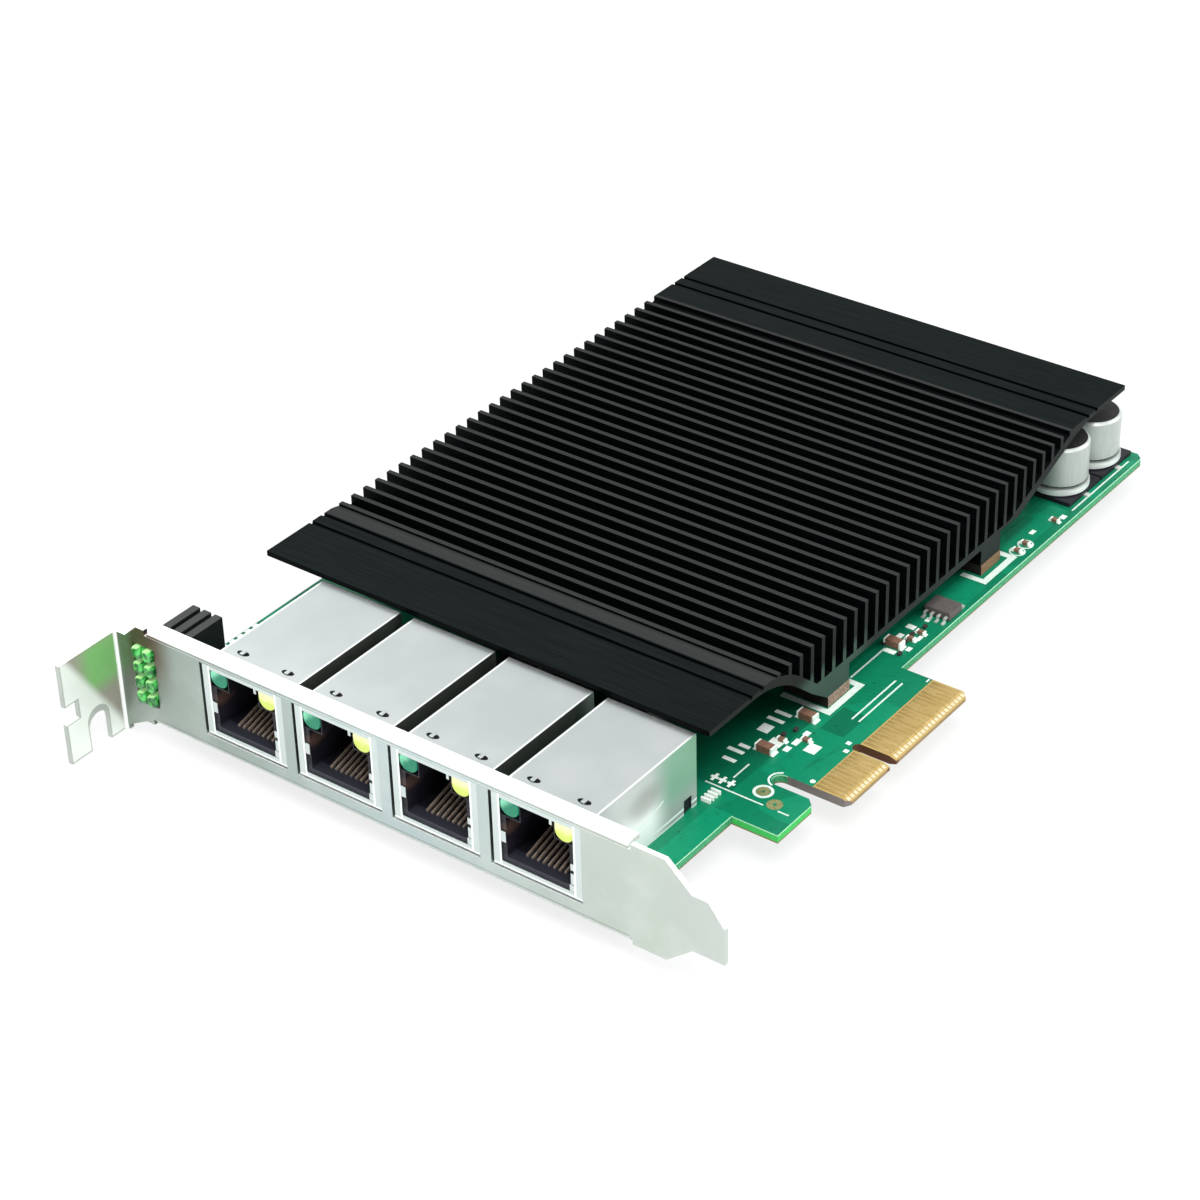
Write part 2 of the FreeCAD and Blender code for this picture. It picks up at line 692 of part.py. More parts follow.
near_foot_end = d.near_foot_x + d.foot_wide
far_foot_end = d.far_foot_x + d.foot_wide
under_near = near_curve(0, d.base_low)
toe_low = d.base_low + d.far_toe_rise
under_far = far_curve(0, toe_low)
form_outline = [(d.sink_near, sink_top), (d.sink_near, sink_top - d.wing_thick)]
form_outline += under_near
form_outline += [(d.near_foot_x, d.foot_low), (near_foot_end, d.foot_low), (near_foot_end, d.base_low),
                 (d.far_foot_x, d.base_low), (d.far_foot_x, d.foot_low), (far_foot_end, d.foot_low),
                 (far_foot_end, toe_low)]
form_outline += under_far
form_outline += [(d.sink_far, sink_top - d.wing_thick), (d.sink_far, sink_top)]

base_top = d.base_low + d.base_thick
room_outline = near_curve(d.skin_thick, base_top) + far_curve(d.skin_thick, base_top)
room_outline += [(room_outline[-1][-1][0], sink_top + 2), (room_outline[0][0], sink_top + 2)]

sink_form = make_body("sink_form")
form_sketch = sketch_in(sink_form, "form_sketch", "XZ_Plane", "size.sink_y", [form_outline])
feature(sink_form, "Pad", "form_extrusion", form_sketch, SINK_LONG)

sink_room = make_body("sink_room")
room_sketch = sketch_in(sink_room, "room_sketch", "XZ_Plane", "size.sink_y - 1", [room_outline])
feature(sink_room, "Pad", "room_extrusion", room_sketch, SINK_LONG + " + 2")

sink_comb = make_body("sink_comb")
slot_start = d.fin_first + d.fin_thick / 2
slot_end = slot_start + d.fin_pitch - d.fin_thick
slot_outline = [(slot_start, d.base_low), (slot_end, d.base_low), (slot_end, sink_top + 1),
                (slot_start, sink_top + 1)]
comb_sketch = sketch_in(sink_comb, "comb_sketch", "XZ_Plane", "size.sink_y - 2", [slot_outline])
comb_slot = feature(sink_comb, "Pad", "comb_slot", comb_sketch, SINK_LONG + " + 4")
row_of(sink_comb, "comb_row", comb_slot, comb_sketch, "H_Axis", "(size.fin_count - 2) * size.fin_pitch",
       "size.fin_count - 1")
slots = doc.addObject("Part::Common", "sink_slots")
slots.Base = sink_comb
slots.Tool = sink_room
sink_tools = [slots]
for name, start in (("near", "size.near_rib_x"), ("far", "size.far_rib_x")):
    for place in range(2):
        sink_tools.append(box("%s_rib_groove_%d" % (name, place),
                              ("%s + %d * size.rib_pitch" % (start, place),
                               "-(size.sink_y + %s + 1)" % SINK_LONG, SINK_TOP + " - size.rib_depth"),
                              ("size.rib_groove", SINK_LONG + " + 2", "1")))
for place, spot in enumerate(foot_spots):
    sink_tools.append(cylinder("foot_thread_%d" % place, spot, "size.foot_low - 1",
                               "size.foot_screw_radius", "size.foot_thread_deep + 1"))
node("heat_sink", cut("heat_sink", sink_form, sink_tools))

# Gaskets between the feet's ends and the board, and the screws that come through the board from below.
gaskets = []
shanks = []
for place, (middle, across) in enumerate(foot_spots):
    outwards = "size.gasket_over" if place % 2 == 0 else "-size.gasket_over"
    inwards = " - size.foot_screw_inset" if place % 2 else " + size.foot_screw_inset - size.gasket_wide"
    start = across + inwards
    pad = box("gasket_%d" % place, (middle + " - size.foot_wide / 2", "%s + %s" % (start, outwards), TOP),
              ("size.foot_wide", "size.gasket_wide", "size.foot_low - " + TOP))
    hole = cylinder("gasket_hole_%d" % place, (middle, across), TOP + " - 1",
                    "size.foot_screw_radius + size.hole_gap", "size.foot_low - %s + 2" % TOP)
    gaskets.append(cut("gasket_pad_%d" % place, pad, [hole]))
    head = cylinder("foot_head_%d" % place, (middle, across), "size.board_low - size.foot_head_high",
                    "size.foot_head_radius", "size.foot_head_high")
    shank = cylinder("foot_shank_%d" % place, (middle, across), "size.board_low - size.foot_head_high / 2",
                     "size.foot_screw_radius",
                     "size.foot_low + size.foot_screw_reach - size.board_low + size.foot_head_high / 2")
    shanks.append(fuse("foot_screw_%d" % place, [head, shank]))
node("sink_gaskets", group("sink_gaskets", gaskets))
node("sink_screws", group("sink_screws", shanks))

lug_screws = []
for place, spot in enumerate(lug_spots):
    head = cylinder("lug_head_%d" % place, spot, TOP, "size.lug_head_radius", "size.lug_head_high")
    shank = cylinder("lug_shank_%d" % place, spot, LUG_LOW, "size.lug_screw_radius",
                     "size.board_thick + size.sheet_thick + size.lug_head_high / 2")
    lug_screws.append(fuse("lug_screw_%d" % place, [head, shank]))
node("bracket_screws", group("bracket_screws", lug_screws))

# Controllers below the base, each a substrate with a lid, and the soft pads that reach the base.
chips = []
pads = []
BOARD_MIDDLE = "(size.board_top_y + %s) / 2" % BOARD_EDGE
for place in range(2):
    spot = ("size.chip_x", "-(%s + %r * size.chip_pitch)" % (BOARD_MIDDLE, place - 0.5))
    base = centred_box("chip_base_%d" % place, spot,
                       ("size.chip_wide", "size.chip_wide", "size.chip_base_high"), TOP)
    inner = "size.chip_wide - 2 * size.chip_lid_inset"
    lid = centred_box("chip_lid_%d" % place, spot, (inner, inner, "size.chip_lid_high"),
                      TOP + " + size.chip_base_high")
    chips.append(fuse("controller_%d" % place, [base, lid]))
    soft = "size.chip_wide - 2 * size.pad_inset"
    chip_top = "(%s + size.chip_base_high + size.chip_lid_high)" % TOP
    pads.append(centred_box("thermal_pad_%d" % place, spot, (soft, soft, "size.base_low - " + chip_top),
                            chip_top))
node("controllers", group("controllers", chips))
node("thermal_pads", group("thermal_pads", pads))

# Can capacitors: a turned can with a rolled groove above a wider foot ring, standing in a moulded base
# with two cut corners.
cans = []
bases = []
can_leads = []
for place in range(2):
    middle_x, middle_y = d.can_x + place * d.can_pitch, edge + d.can_edge
    low, top = board_top + d.can_base_high, board_top + d.can_high
    groove_z, groove_half = board_top + d.can_groove_low, d.can_groove_half
    half = d.can_base / 2
    can = make_body("can_%d" % place)
    radius = d.can_radius
    ring_out = radius + d.can_ring_out
    profile = [(0, low), (ring_out - d.can_edge_low, low), (ring_out, low + d.can_edge_low),
               (ring_out, groove_z - groove_half), (radius - d.can_groove_deep, groove_z),
               (radius, groove_z + groove_half), (radius, top - d.can_edge_top),
               (radius - d.can_edge_top, top), (0, top)]
    can_sketch = sketch_in(can, "can_sketch_%d" % place, "XZ_Plane", "0", [profile])
    turned = can.newObject("PartDesign::Revolution", "can_turned_%d" % place)
    turned.Profile = can_sketch
    turned.ReferenceAxis = (can_sketch, ["V_Axis"])
    turned.Angle = 360
    can.Tip = turned
    bind(can, Placement__Base__x="size.can_x + %d * size.can_pitch" % place, Placement__Base__y="-" + CAN_Y)
    cans.append(can)
    base = make_body("can_base_%d" % place)
    cutoff = d.can_base_cut
    square = [(middle_x - half, middle_y - half), (middle_x + half, middle_y - half),
              (middle_x + half, middle_y + half - cutoff), (middle_x + half - cutoff, middle_y + half),
              (middle_x - half + cutoff, middle_y + half), (middle_x - half, middle_y + half - cutoff)]
    base_sketch = sketch_in(base, "can_base_sketch_%d" % place, "XY_Plane", TOP, [square])
    feature(base, "Pad", "can_base_pad_%d" % place, base_sketch, "size.can_base_high")
    bases.append(base)
    CAN_X = "(size.can_x + %d * size.can_pitch)" % place
    lead_starts = ("-%s + size.can_base / 2" % CAN_Y,
                   "-%s - size.can_base / 2 - size.can_lead_long" % CAN_Y)
    for side, start in enumerate(lead_starts):
        can_leads.append(box("can_lead_%d_%d" % (place, side),
                             (CAN_X + " - size.can_lead_wide / 2", start, TOP),
                             ("size.can_lead_wide", "size.can_lead_long", "size.lead_thick")))
node("capacitor_cans", group("capacitor_cans", cans))
node("capacitor_bases", group("capacitor_bases", bases))
node("capacitor_leads", group("capacitor_leads", can_leads))

# Voltage regulator at the board's edge: a moulded body with four bent leads on each side.
REG_LOW = "(%s + size.regulator_lift)" % TOP
regulator = centred_box("regulator_block", ("size.regulator_x", "-" + REGULATOR_Y),
                        ("size.regulator_wide", "size.regulator_long", "size.regulator_high"), REG_LOW)
node("regulator", group("regulator_shell", [regulator]))
leads = make_body("regulator_leads")
lift, lead = board_top + d.lead_rise, d.lead_thick
for side, sign in (("near", -1), ("far", 1)):
    face = d.regulator_x + sign * d.regulator_wide / 2
    knee, end = face + sign * d.lead_knee, face + sign * d.lead_long
    bent = [(face, lift), (face, lift + lead), (knee + sign * lead, lift + lead),
            (knee + sign * lead, board_top + lead), (end, board_top + lead), (end, board_top),
            (knee, board_top), (knee, lift)]
    lead_sketch = sketch_in(leads, "lead_sketch_" + side, "XZ_Plane",
                            REGULATOR_Y + " - (3 * size.lead_pitch + size.lead_wide) / 2", [bent])
    lead_pad = feature(leads, "Pad", "lead_" + side, lead_sketch, "size.lead_wide")
    row_of(leads, "lead_row_" + side, lead_pad, lead_sketch, "N_Axis", "3 * size.lead_pitch", "4")
node("regulator_leads", leads)

# Power coils under the near wing, and the ceramic parts at the board's edges.
coils = []
coil_extent = ("size.coil_wide", "size.coil_wide", "size.coil_high")
for place in range(2):
    centre = ("size.coil_x", "-(size.coil_first_y + %d * size.coil_pitch)" % place)
    coils.append(centred_box("coil_%d" % place, centre, coil_extent, TOP))
node("power_coils", group("power_coils", coils))
# Each spot is its distance along X and from the board's lower edge.
SMALL_SPOTS = ((57.6, 4.6), (46.6, 5.2), (83.0, 4.4))
TINY_SPOTS = ((50.2, 4.6), (52.4, 1.4), (85.9, 3.0), (88.4, 2.6), (119.4, 2.4), (122.2, 2.4), (131.6, 2.0))
small_parts = (("ceramic_capacitors", SMALL_SPOTS, "small"), ("chip_resistors", TINY_SPOTS, "tiny"))
for label, spots, kind in small_parts:
    extent = tuple("size.%s_%s" % (kind, name) for name in ("wide", "long", "high"))
    blocks = []
    for place, (along, inwards) in enumerate(spots):
        centre = ("%r" % along, "-(%s - %r)" % (BOARD_EDGE, inwards))
        blocks.append(centred_box("%s_%d" % (kind, place), centre, extent, TOP))
    node(label, group(label, blocks))

doc.recompute()
for item in doc.Objects:
    if "Invalid" in item.State or "Error" in item.State:
        raise RuntimeError("%s failed: %s" % (item.Name, item.State))
for item in nodes:
    if item.Shape.isNull() or not item.Shape.isValid():
        raise RuntimeError("%s has no valid shape" % item.Label)
os.makedirs("parts", exist_ok=True)
for item in nodes:
    item.Shape.exportStep("parts/%s.step" % item.Label)
    extent = item.Shape.BoundBox
    print("%-20s solids %2d  faces %4d  volume %9.2f" % (
        item.Label, len(item.Shape.Solids), len(item.Shape.Faces), item.Shape.Volume))
    print("    x %7.2f %7.2f  y %7.2f %7.2f  z %6.2f %6.2f" % (
        extent.XMin, extent.XMax, extent.YMin, extent.YMax, extent.ZMin, extent.ZMax))
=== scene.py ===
import bpy
import bmesh
import math
from mathutils import Matrix, Vector


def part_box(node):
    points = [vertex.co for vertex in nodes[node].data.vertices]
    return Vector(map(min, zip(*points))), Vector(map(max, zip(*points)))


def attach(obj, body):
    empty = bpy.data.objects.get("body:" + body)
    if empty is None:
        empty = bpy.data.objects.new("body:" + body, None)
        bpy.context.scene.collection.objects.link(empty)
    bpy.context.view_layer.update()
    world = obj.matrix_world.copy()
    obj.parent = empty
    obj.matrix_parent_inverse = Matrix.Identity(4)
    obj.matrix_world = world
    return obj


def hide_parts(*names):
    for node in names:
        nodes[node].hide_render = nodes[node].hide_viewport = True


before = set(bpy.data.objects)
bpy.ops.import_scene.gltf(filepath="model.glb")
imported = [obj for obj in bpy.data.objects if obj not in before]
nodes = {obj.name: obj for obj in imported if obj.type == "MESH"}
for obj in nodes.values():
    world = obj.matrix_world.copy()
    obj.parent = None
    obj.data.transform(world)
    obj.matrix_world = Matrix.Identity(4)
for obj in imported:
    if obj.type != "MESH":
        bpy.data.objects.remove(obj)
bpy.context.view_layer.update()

# Lengths are in millimetres of the card: x runs inwards from the plate's outer face, y is 0 at the tab's
# outer face and falls towards the tongue, z is 0 at the plate's lower edge.
boardPlace = {
    "near": 1.2,  # from the plate's outer face to the board
    "low": 2.1,  # from the plate's lower edge up to the board's underside
    "fingers": 12.7,  # how far the card edge reaches past the board's long edge
}
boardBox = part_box("circuit_board")
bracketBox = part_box("bracket")
cardOrigin = (
    boardBox[0][0] * 1000 - boardPlace["near"],
    bracketBox[1][1] * 1000,
    boardBox[0][2] * 1000 - boardPlace["low"],
)


def cardBox(nodeName):
    # a node's lowest and highest corners in the card's millimetres
    return [[1000 * corner[axis] - cardOrigin[axis] for axis in range(3)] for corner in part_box(nodeName)]


def placed(x, y, z):
    return Vector(((x + cardOrigin[0]) / 1000, (y + cardOrigin[1]) / 1000, (z + cardOrigin[2]) / 1000))


boardLow = cardBox("circuit_board")[0][2]
boardTop = cardBox("circuit_board")[1][2]
lowerEdge = cardBox("circuit_board")[0][1] + boardPlace["fingers"]
shields = [cardBox("shield_%d" % port) for port in range(1, 5)]
portMiddles = [(low[1] + high[1]) / 2 for low, high in shields]
portPitch = portMiddles[0] - portMiddles[1]
portRear = shields[0][1][0]
portTop = shields[0][1][2]
portHalf = (shields[0][1][1] - shields[0][0][1]) / 2
lastSide = shields[3][0][1]
print("card measured, ports at", [round(middle, 2) for middle in portMiddles])


class Wire:
    # an output socket that takes part in sums with numbers and other outputs
    def __init__(self, graph, socket):
        self.graph = graph
        self.socket = socket

    def math(self, operation, *values):
        return self.graph.add("ShaderNodeMath", {"operation": operation}, values)

    def __add__(self, other):
        return self.math("ADD", self, other)

    def __radd__(self, other):
        return self.math("ADD", other, self)

    def __sub__(self, other):
        return self.math("SUBTRACT", self, other)

    def __rsub__(self, other):
        return self.math("SUBTRACT", other, self)

    def __mul__(self, other):
        return self.math("MULTIPLY", self, other)

    def __rmul__(self, other):
        return self.math("MULTIPLY", other, self)

    def __mod__(self, other):
        return self.math("FLOORED_MODULO", self, other)

    def __gt__(self, other):
        return self.math("GREATER_THAN", self, other)

    def __lt__(self, other):
        return self.math("LESS_THAN", self, other)

    def __abs__(self):
        return self.math("ABSOLUTE", self)

    def reach(self, other):
        # the distance that two parts at right angles make
        return self.math("SQRT", self * self + other * other)

    def either(self, other):
        return self.math("MAXIMUM", self, other)

    def between(self, low, high):
        return (self > low) * (self < high)

    def ramp(self, low, high):
        # 0 at low and 1 at high, smooth between
        settings = {"interpolation_type": "SMOOTHSTEP", "clamp": True}
        return self.graph.add("ShaderNodeMapRange", settings, {0: self, 1: low, 2: high, 3: 0.0, 4: 1.0})


class Graph:
    # a node tree to which nodes are added in reading order
    def __init__(self, tree):
        self.tree = tree

    def add(self, kind, settings=None, values=None, output=0):
        node = self.tree.nodes.new(kind)
        for key, value in (settings or {}).items():
            setattr(node, key, value)
        pairs = values.items() if isinstance(values, dict) else enumerate(values or ())
        for key, value in pairs:
            self.feed(node.inputs[key], value)
        return Wire(self, node.outputs[output])

    def feed(self, socket, value):
        if isinstance(value, Wire):
            self.tree.links.new(value.socket, socket)
        elif isinstance(value, (tuple, list)) and socket.type == "RGBA":
            socket.default_value = (*value[:3], 1.0)
        else:
            socket.default_value = value

    def parts(self, vector, axes):
        split = self.add("ShaderNodeSeparateXYZ", {}, [vector]).socket.node
        return [Wire(self, split.outputs[axis]) for axis in axes]


class Paint(Graph):
    # one material that ends in a Principled shader
    def __init__(self, name, **constants):
        self.material = bpy.data.materials.new(name)
        self.material.use_nodes = True
        super().__init__(self.material.node_tree)
        self.shader = self.tree.nodes["Principled BSDF"]
        for socketName, value in constants.items():
            self.shader.inputs[socketName.replace("_", " ")].default_value = value
        self.coordinate = self.add("ShaderNodeTexCoord", {}, {}, "Object")

    def place(self, axes="XYZ"):
        scaled = self.add("ShaderNodeVectorMath", {"operation": "MULTIPLY"}, [self.coordinate, (1000,) * 3])
        moved = self.add("ShaderNodeVectorMath", {"operation": "SUBTRACT"}, [scaled, cardOrigin])
        return self.parts(moved, axes)

    def facing(self, axes="XYZ"):
        return self.parts(self.add("ShaderNodeNewGeometry", {}, {}, "Normal"), axes)

    def noise(self, grain, detail=3.0, roughness=0.55, stretch=(1, 1, 1)):
        # grain is the pattern's size in millimetres
        shrink = tuple(1 / part for part in stretch)
        turned = self.add("ShaderNodeMapping", {}, {0: self.coordinate, 3: shrink})
        values = {"Vector": turned, "Scale": 1000 / grain, "Detail": detail, "Roughness": roughness}
        return self.add("ShaderNodeTexNoise", {}, values)

    def cells(self, grain, output="Distance"):
        values = {"Vector": self.coordinate, "Scale": 1000 / grain}
        return self.add("ShaderNodeTexVoronoi", {}, values, output)

    def blend(self, mask, first, second):
        return self.add("ShaderNodeMix", {"data_type": "RGBA"}, {0: mask, 6: first, 7: second}, 2)

    def bump(self, height, depth):
        # depth in millimetres
        return self.add("ShaderNodeBump", {}, {"Height": height, "Distance": depth / 1000, "Strength": 1.0})

    def finish(self, color, **values):
        self.feed(self.shader.inputs["Base Color"], color)
        for socketName, value in values.items():
            self.feed(self.shader.inputs[socketName.replace("_", " ")], value)
        return self.material


def within(x, y, area):
    x0, x1, y0, y1 = area
    return x.between(x0, x1) * y.between(y0, y1)


def under(x, y, zone):
    x0, x1, top = zone
    return x.between(x0, x1) * (y < top)


def fromPortMiddle(y):
    # how far a point lies from the middle of its own port
    return (y - portMiddles[3] + portPitch / 2) % portPitch - portPitch / 2


boardLook = {
    "mask": (0.004, 0.190, 0.092),
    "pour": (0.005, 0.238, 0.118),
    "deep": (0.002, 0.070, 0.034),
    "shade": (0.003, 0.030, 0.018),
    "rim": (0.10, 0.46, 0.20),
    "rimTop": (0.45, 0.80, 0.55),
    "rimTopHigh": 0.22,
    "rimLow": (0.20, 0.16, 0.07),
    "rimLowHigh": 0.25,
    "lime": (0.05, 0.50, 0.10),
    "keyBrown": (0.12, 0.055, 0.03),
    "copperGround": (0.46, 0.33, 0.115),
    "copperEdge": (0.30, 0.21, 0.10),
    "notchWallShade": (0.21, 0.175, 0.17),
    "patchGrain": 9.0,
    "patchFrom": (0.62, 0.67),
    "viaGrain": 2.6,
    "viaReach": 0.085,
    "fan": {"area": (43.5, 77.5, -105.8, -97.0), "from": -99.0, "lean": 0.25, "pitch": 1.0,
            "line": (0.30, 0.62)},
    "runs": {"area": (78.5, 158.0, -94.6, -88.0), "from": 0.0, "lean": 0.02, "pitch": 1.1,
             "line": (0.2, 0.55)},
    "pours": [(50.0, 59.8, -104.0, -98.0), (42.0, 51.0, -103.0, -97.5), (100.0, 107.0, -99.5, -92.0),
              (118.5, 136.0, -98.8, -95.2), (71.5, 88.0, -94.5, -88.0), (1.2, 30.0, -100.6, -96.5)],
    "paintedShadeAreas": [(34.5, 60.0, -97.0, -78.0), (56.5, 63.5, -103.5, -99.0)],
    "fingerZone": (43.0, 78.2, -106.6),
    "bareZone": (42.5, 78.7, -102.0),
    "keyZone": (54.0, 57.2, -105.0),
    "hookZone": (28.0, 41.0, -100.8),
    "gapFrom": 1.0,
}


def tracks(across, along, look):
    # fine lines, one in each pitch, that lean as they run
    lines = (across + (along - look["from"]) * look["lean"]) % look["pitch"]
    return lines.between(*look["line"])


def solderMask():
    paint = Paint("solderMask", Coat_Weight=0.06, Coat_Roughness=0.15, Specular_IOR_Level=0.15)
    x, y, z = paint.place()
    nx, nz = paint.facing("XZ")
    flat = abs(nz) > 0.5
    patchTone = paint.add("ShaderNodeSeparateColor", {}, [paint.cells(boardLook["patchGrain"], "Color")])
    pour = patchTone.ramp(*boardLook["patchFrom"])
    for area in boardLook["pours"]:
        pour = pour.either(within(x, y, area))
    # painted shade on the board's top by the heat sink's near wing and foot, which also dims the pours there
    dark = 0.0
    for area in boardLook["paintedShadeAreas"]:
        dark = within(x, y, area) + dark
    dark = dark * (nz > 0)
    pour = pour * (1 - dark * 0.7)
    # copper tracks under the mask: fine lines that run to the edge contacts, and scattered via holes
    fan = tracks(x, y, boardLook["fan"]) * within(x, y, boardLook["fan"]["area"])
    runs = tracks(y, x, boardLook["runs"]) * within(x, y, boardLook["runs"]["area"])
    holes = (paint.cells(boardLook["viaGrain"]) < boardLook["viaReach"]) * (1 - fan)
    # little light reaches the board between the ports
    gaps = x.between(boardLook["gapFrom"], portRear) * (y > lastSide) * (nz > 0)
    grain = paint.noise(1.6, 4.0)
    cloud = grain.ramp(0.45, 0.75)
    color = paint.blend(pour, boardLook["mask"], boardLook["pour"])
    for mask, share, tone in ((fan, 0.35, "pour"), (runs, 0.35, "deep"), (holes, 0.6, "shade"),
                              (dark, 0.4, "deep"), (gaps, 0.35, "shade"), (cloud, 0.2, "deep")):
        color = paint.blend(mask * share, color, boardLook[tone])
    color = paint.blend(under(x, y, boardLook["fingerZone"]), color, boardLook["copperGround"])
    # the cut edge: a painted highlight as a pale line along its top, glass-fibre green, and a brownish line
    # below
    fibre = paint.noise(0.5, 2.0, 0.6, (1, 1, 0.15)).ramp(0.3, 0.7)
    edge = paint.blend(fibre, boardLook["rim"], boardLook["mask"])
    edge = paint.blend(under(x, y, boardLook["hookZone"]), edge, boardLook["lime"])
    edge = paint.blend(z > boardTop - boardLook["rimTopHigh"], edge, boardLook["rimTop"])
    edge = paint.blend(z < boardLow + boardLook["rimLowHigh"], edge, boardLook["rimLow"])
    bare = under(x, y, boardLook["bareZone"])
    edge = paint.blend(bare, edge, boardLook["copperEdge"])
    # painted shade: the notch's wall takes the grey-brown of the shadowed floor seen through the notch
    edge = paint.blend(bare * (nx < -0.5), edge, boardLook["notchWallShade"])
    edge = paint.blend(under(x, y, boardLook["keyZone"]), edge, boardLook["keyBrown"])
    color = paint.blend(flat, edge, color)
    height = pour * 0.6 + fan * 0.4 + grain * 0.3
    return paint.finish(color, Roughness=0.58 - 0.24 * flat + grain * 0.1, Normal=paint.bump(height, 0.02))


goldLook = {"dull": (0.60, 0.42, 0.15), "bright": (0.74, 0.56, 0.25), "tip": (0.95, 0.88, 0.66),
            "tipFrom": -112.4}


def goldPlate():
    paint = Paint("goldPlate", Metallic=1.0)
    [y] = paint.place("Y")
    wear = paint.noise(0.9, 4.0, 0.6, (1, 4, 1))
    color = paint.blend(wear.ramp(0.35, 0.7), goldLook["dull"], goldLook["bright"])
    # painted highlight along the bevelled tip of the contacts
    color = paint.blend((y < goldLook["tipFrom"]) * 0.75, color, goldLook["tip"])
    return paint.finish(color, Roughness=0.24 + wear * 0.2, Normal=paint.bump(wear, 0.01))


steelLook = {
    "left": (0.33, 0.385, 0.35),
    "middle": (0.45, 0.53, 0.52),
    "right": (0.465, 0.515, 0.460),
    "tongue": (0.470, 0.505, 0.470),
    "changes": [(18.0, 60.0, "middle"), (60.0, 108.0, "right"), (108.0, 115.0, "tongue")],
    "paintedFoldHighlight": (0.62, 0.68, 0.64),
    "paintedFoldShade": (0.16, 0.18, 0.17),
    "foldLong": (-103.0, -8.0),
    "foldHigh": (1.15, 1.45),
    "topEdge": (0.93, 0.95, 0.92),
    "bend": (0.150, 0.100, 0.072),
    "bendStart": (-14.5, -8.8),
    "bendEnd": (-5.0, -2.6),
    "bendHigh": (5.0, 14.5),
    "tabPlace": (-0.02, -1.5),
    "tabEdge": -0.55,
    "tabBrownReflection": (0.34, 0.325, 0.265),
    "tabGreenReflection": (0.20, 0.58, 0.16),
    "greenLong": (-10.0, -5.5),
    "greenLow": (5.5, 9.5),
    "greenHigh": (14.5, 17.0),
    "tabPaleReflection": (0.84, 0.89, 0.82),
    "palePlace": (-7.4, 9.8),
    "paleLean": 0.62,
    "paleSoft": (-1.2, 1.0),
    "tabRim": (0.30, 0.335, 0.29),
    "tabMetal": 0.25,
    "rimWide": 0.24,
    "slotPlace": (-5.8, 3.23, 2.21),
    "notchPlace": (7.6, 3.4, 2.9),
}


def tabTone(paint, x, z):
    # painted reflections as brown and green patches and a pale fade, and a grey rim round the outline, the
    # screw slot and the notch
    green = x.ramp(*steelLook["greenLong"]) * z.ramp(*steelLook["greenLow"])
    green = green * (1 - z.ramp(*steelLook["greenHigh"]))
    tone = paint.blend(green * 0.8, steelLook["tabBrownReflection"], steelLook["tabGreenReflection"])
    paleX, paleZ = steelLook["palePlace"]
    pale = (paleX - (z - paleZ) * steelLook["paleLean"] - x).ramp(*steelLook["paleSoft"])
    tone = paint.blend(pale, tone, steelLook["tabPaleReflection"])
    tabEnd, tabLow = cardBox("bracket")[0][0], cardBox("bracket")[0][2]
    rimWide = steelLook["rimWide"]
    slotX, slotEnd, slotHalf = steelLook["slotPlace"]
    slotZ = (z - (tabLow + slotEnd + slotHalf - rimWide)).either(0.0)
    bySlot = (x - slotX).reach(slotZ) < slotHalf + rimWide
    notchLow, notchWide, notchDeep = steelLook["notchPlace"]
    notchFrom = tabLow + notchLow - rimWide
    notchTo = tabLow + notchLow + notchWide + rimWide
    inNotch = (x < tabEnd + notchDeep + rimWide) * z.between(notchFrom, notchTo)
    outside = (x < tabEnd + rimWide).either(z < tabLow + rimWide)
    tone = paint.blend(outside.either(bySlot).either(inNotch) * 0.75, tone, steelLook["tabRim"])
    # painted highlight along the bend
    return paint.blend(x > steelLook["tabEdge"], tone, steelLook["topEdge"])


def bracketSteel():
    paint = Paint("bracketSteel")
    x, y, z = paint.place()
    nx, nz = paint.facing("XZ")
    cloud = paint.noise(9.0)
    brush = paint.noise(0.35, 3.0, 0.6, (1, 14, 1))
    speck = paint.noise(0.25, 2.0)
    # painted shading along the plate: darkest by the tab, lighter towards the tongue
    color = steelLook["left"]
    for start, end, tone in steelLook["changes"]:
        color = paint.blend((0 - y).ramp(start, end), color, steelLook[tone])
    # painted reflection: the plate darkens and warms towards the tab's bend
    bend = y.ramp(*steelLook["bendStart"]) * (1 - y.ramp(*steelLook["bendEnd"]) * 0.55)
    bend = bend * (0.12 + 0.88 * z.ramp(*steelLook["bendHigh"]))
    color = paint.blend(bend * 0.95, color, steelLook["bend"])
    tabX, tabY = steelLook["tabPlace"]
    tab = (x < tabX) * (y > tabY)
    color = paint.blend(tab, color, tabTone(paint, x, z))
    # the lower fold of the plate: painted shade as a dark crease, with a painted highlight as a pale edge
    # under it
    fold = y.between(*steelLook["foldLong"]) * (nx < -0.1)
    paleTo, darkTo = steelLook["foldHigh"]
    color = paint.blend(fold * (z < paleTo) * 0.8, color, steelLook["paintedFoldHighlight"])
    color = paint.blend(fold * z.between(paleTo, darkTo) * 0.5, color, steelLook["paintedFoldShade"])
    color = paint.blend(cloud.ramp(0.45, 0.75) * 0.14, color, steelLook["topEdge"])
    # painted light: upward faces are painted near white, and they and the tab are made less metallic
    color = paint.blend(nz > 0.5, color, steelLook["topEdge"])
    metal = 1 - tab.either(nz > 0.5) * (1 - steelLook["tabMetal"])
    return paint.finish(color, Roughness=0.26 + brush * 0.14 + speck * 0.06, Metallic=metal,
                        Normal=paint.bump(brush * 0.5 + speck * 0.5, 0.008))


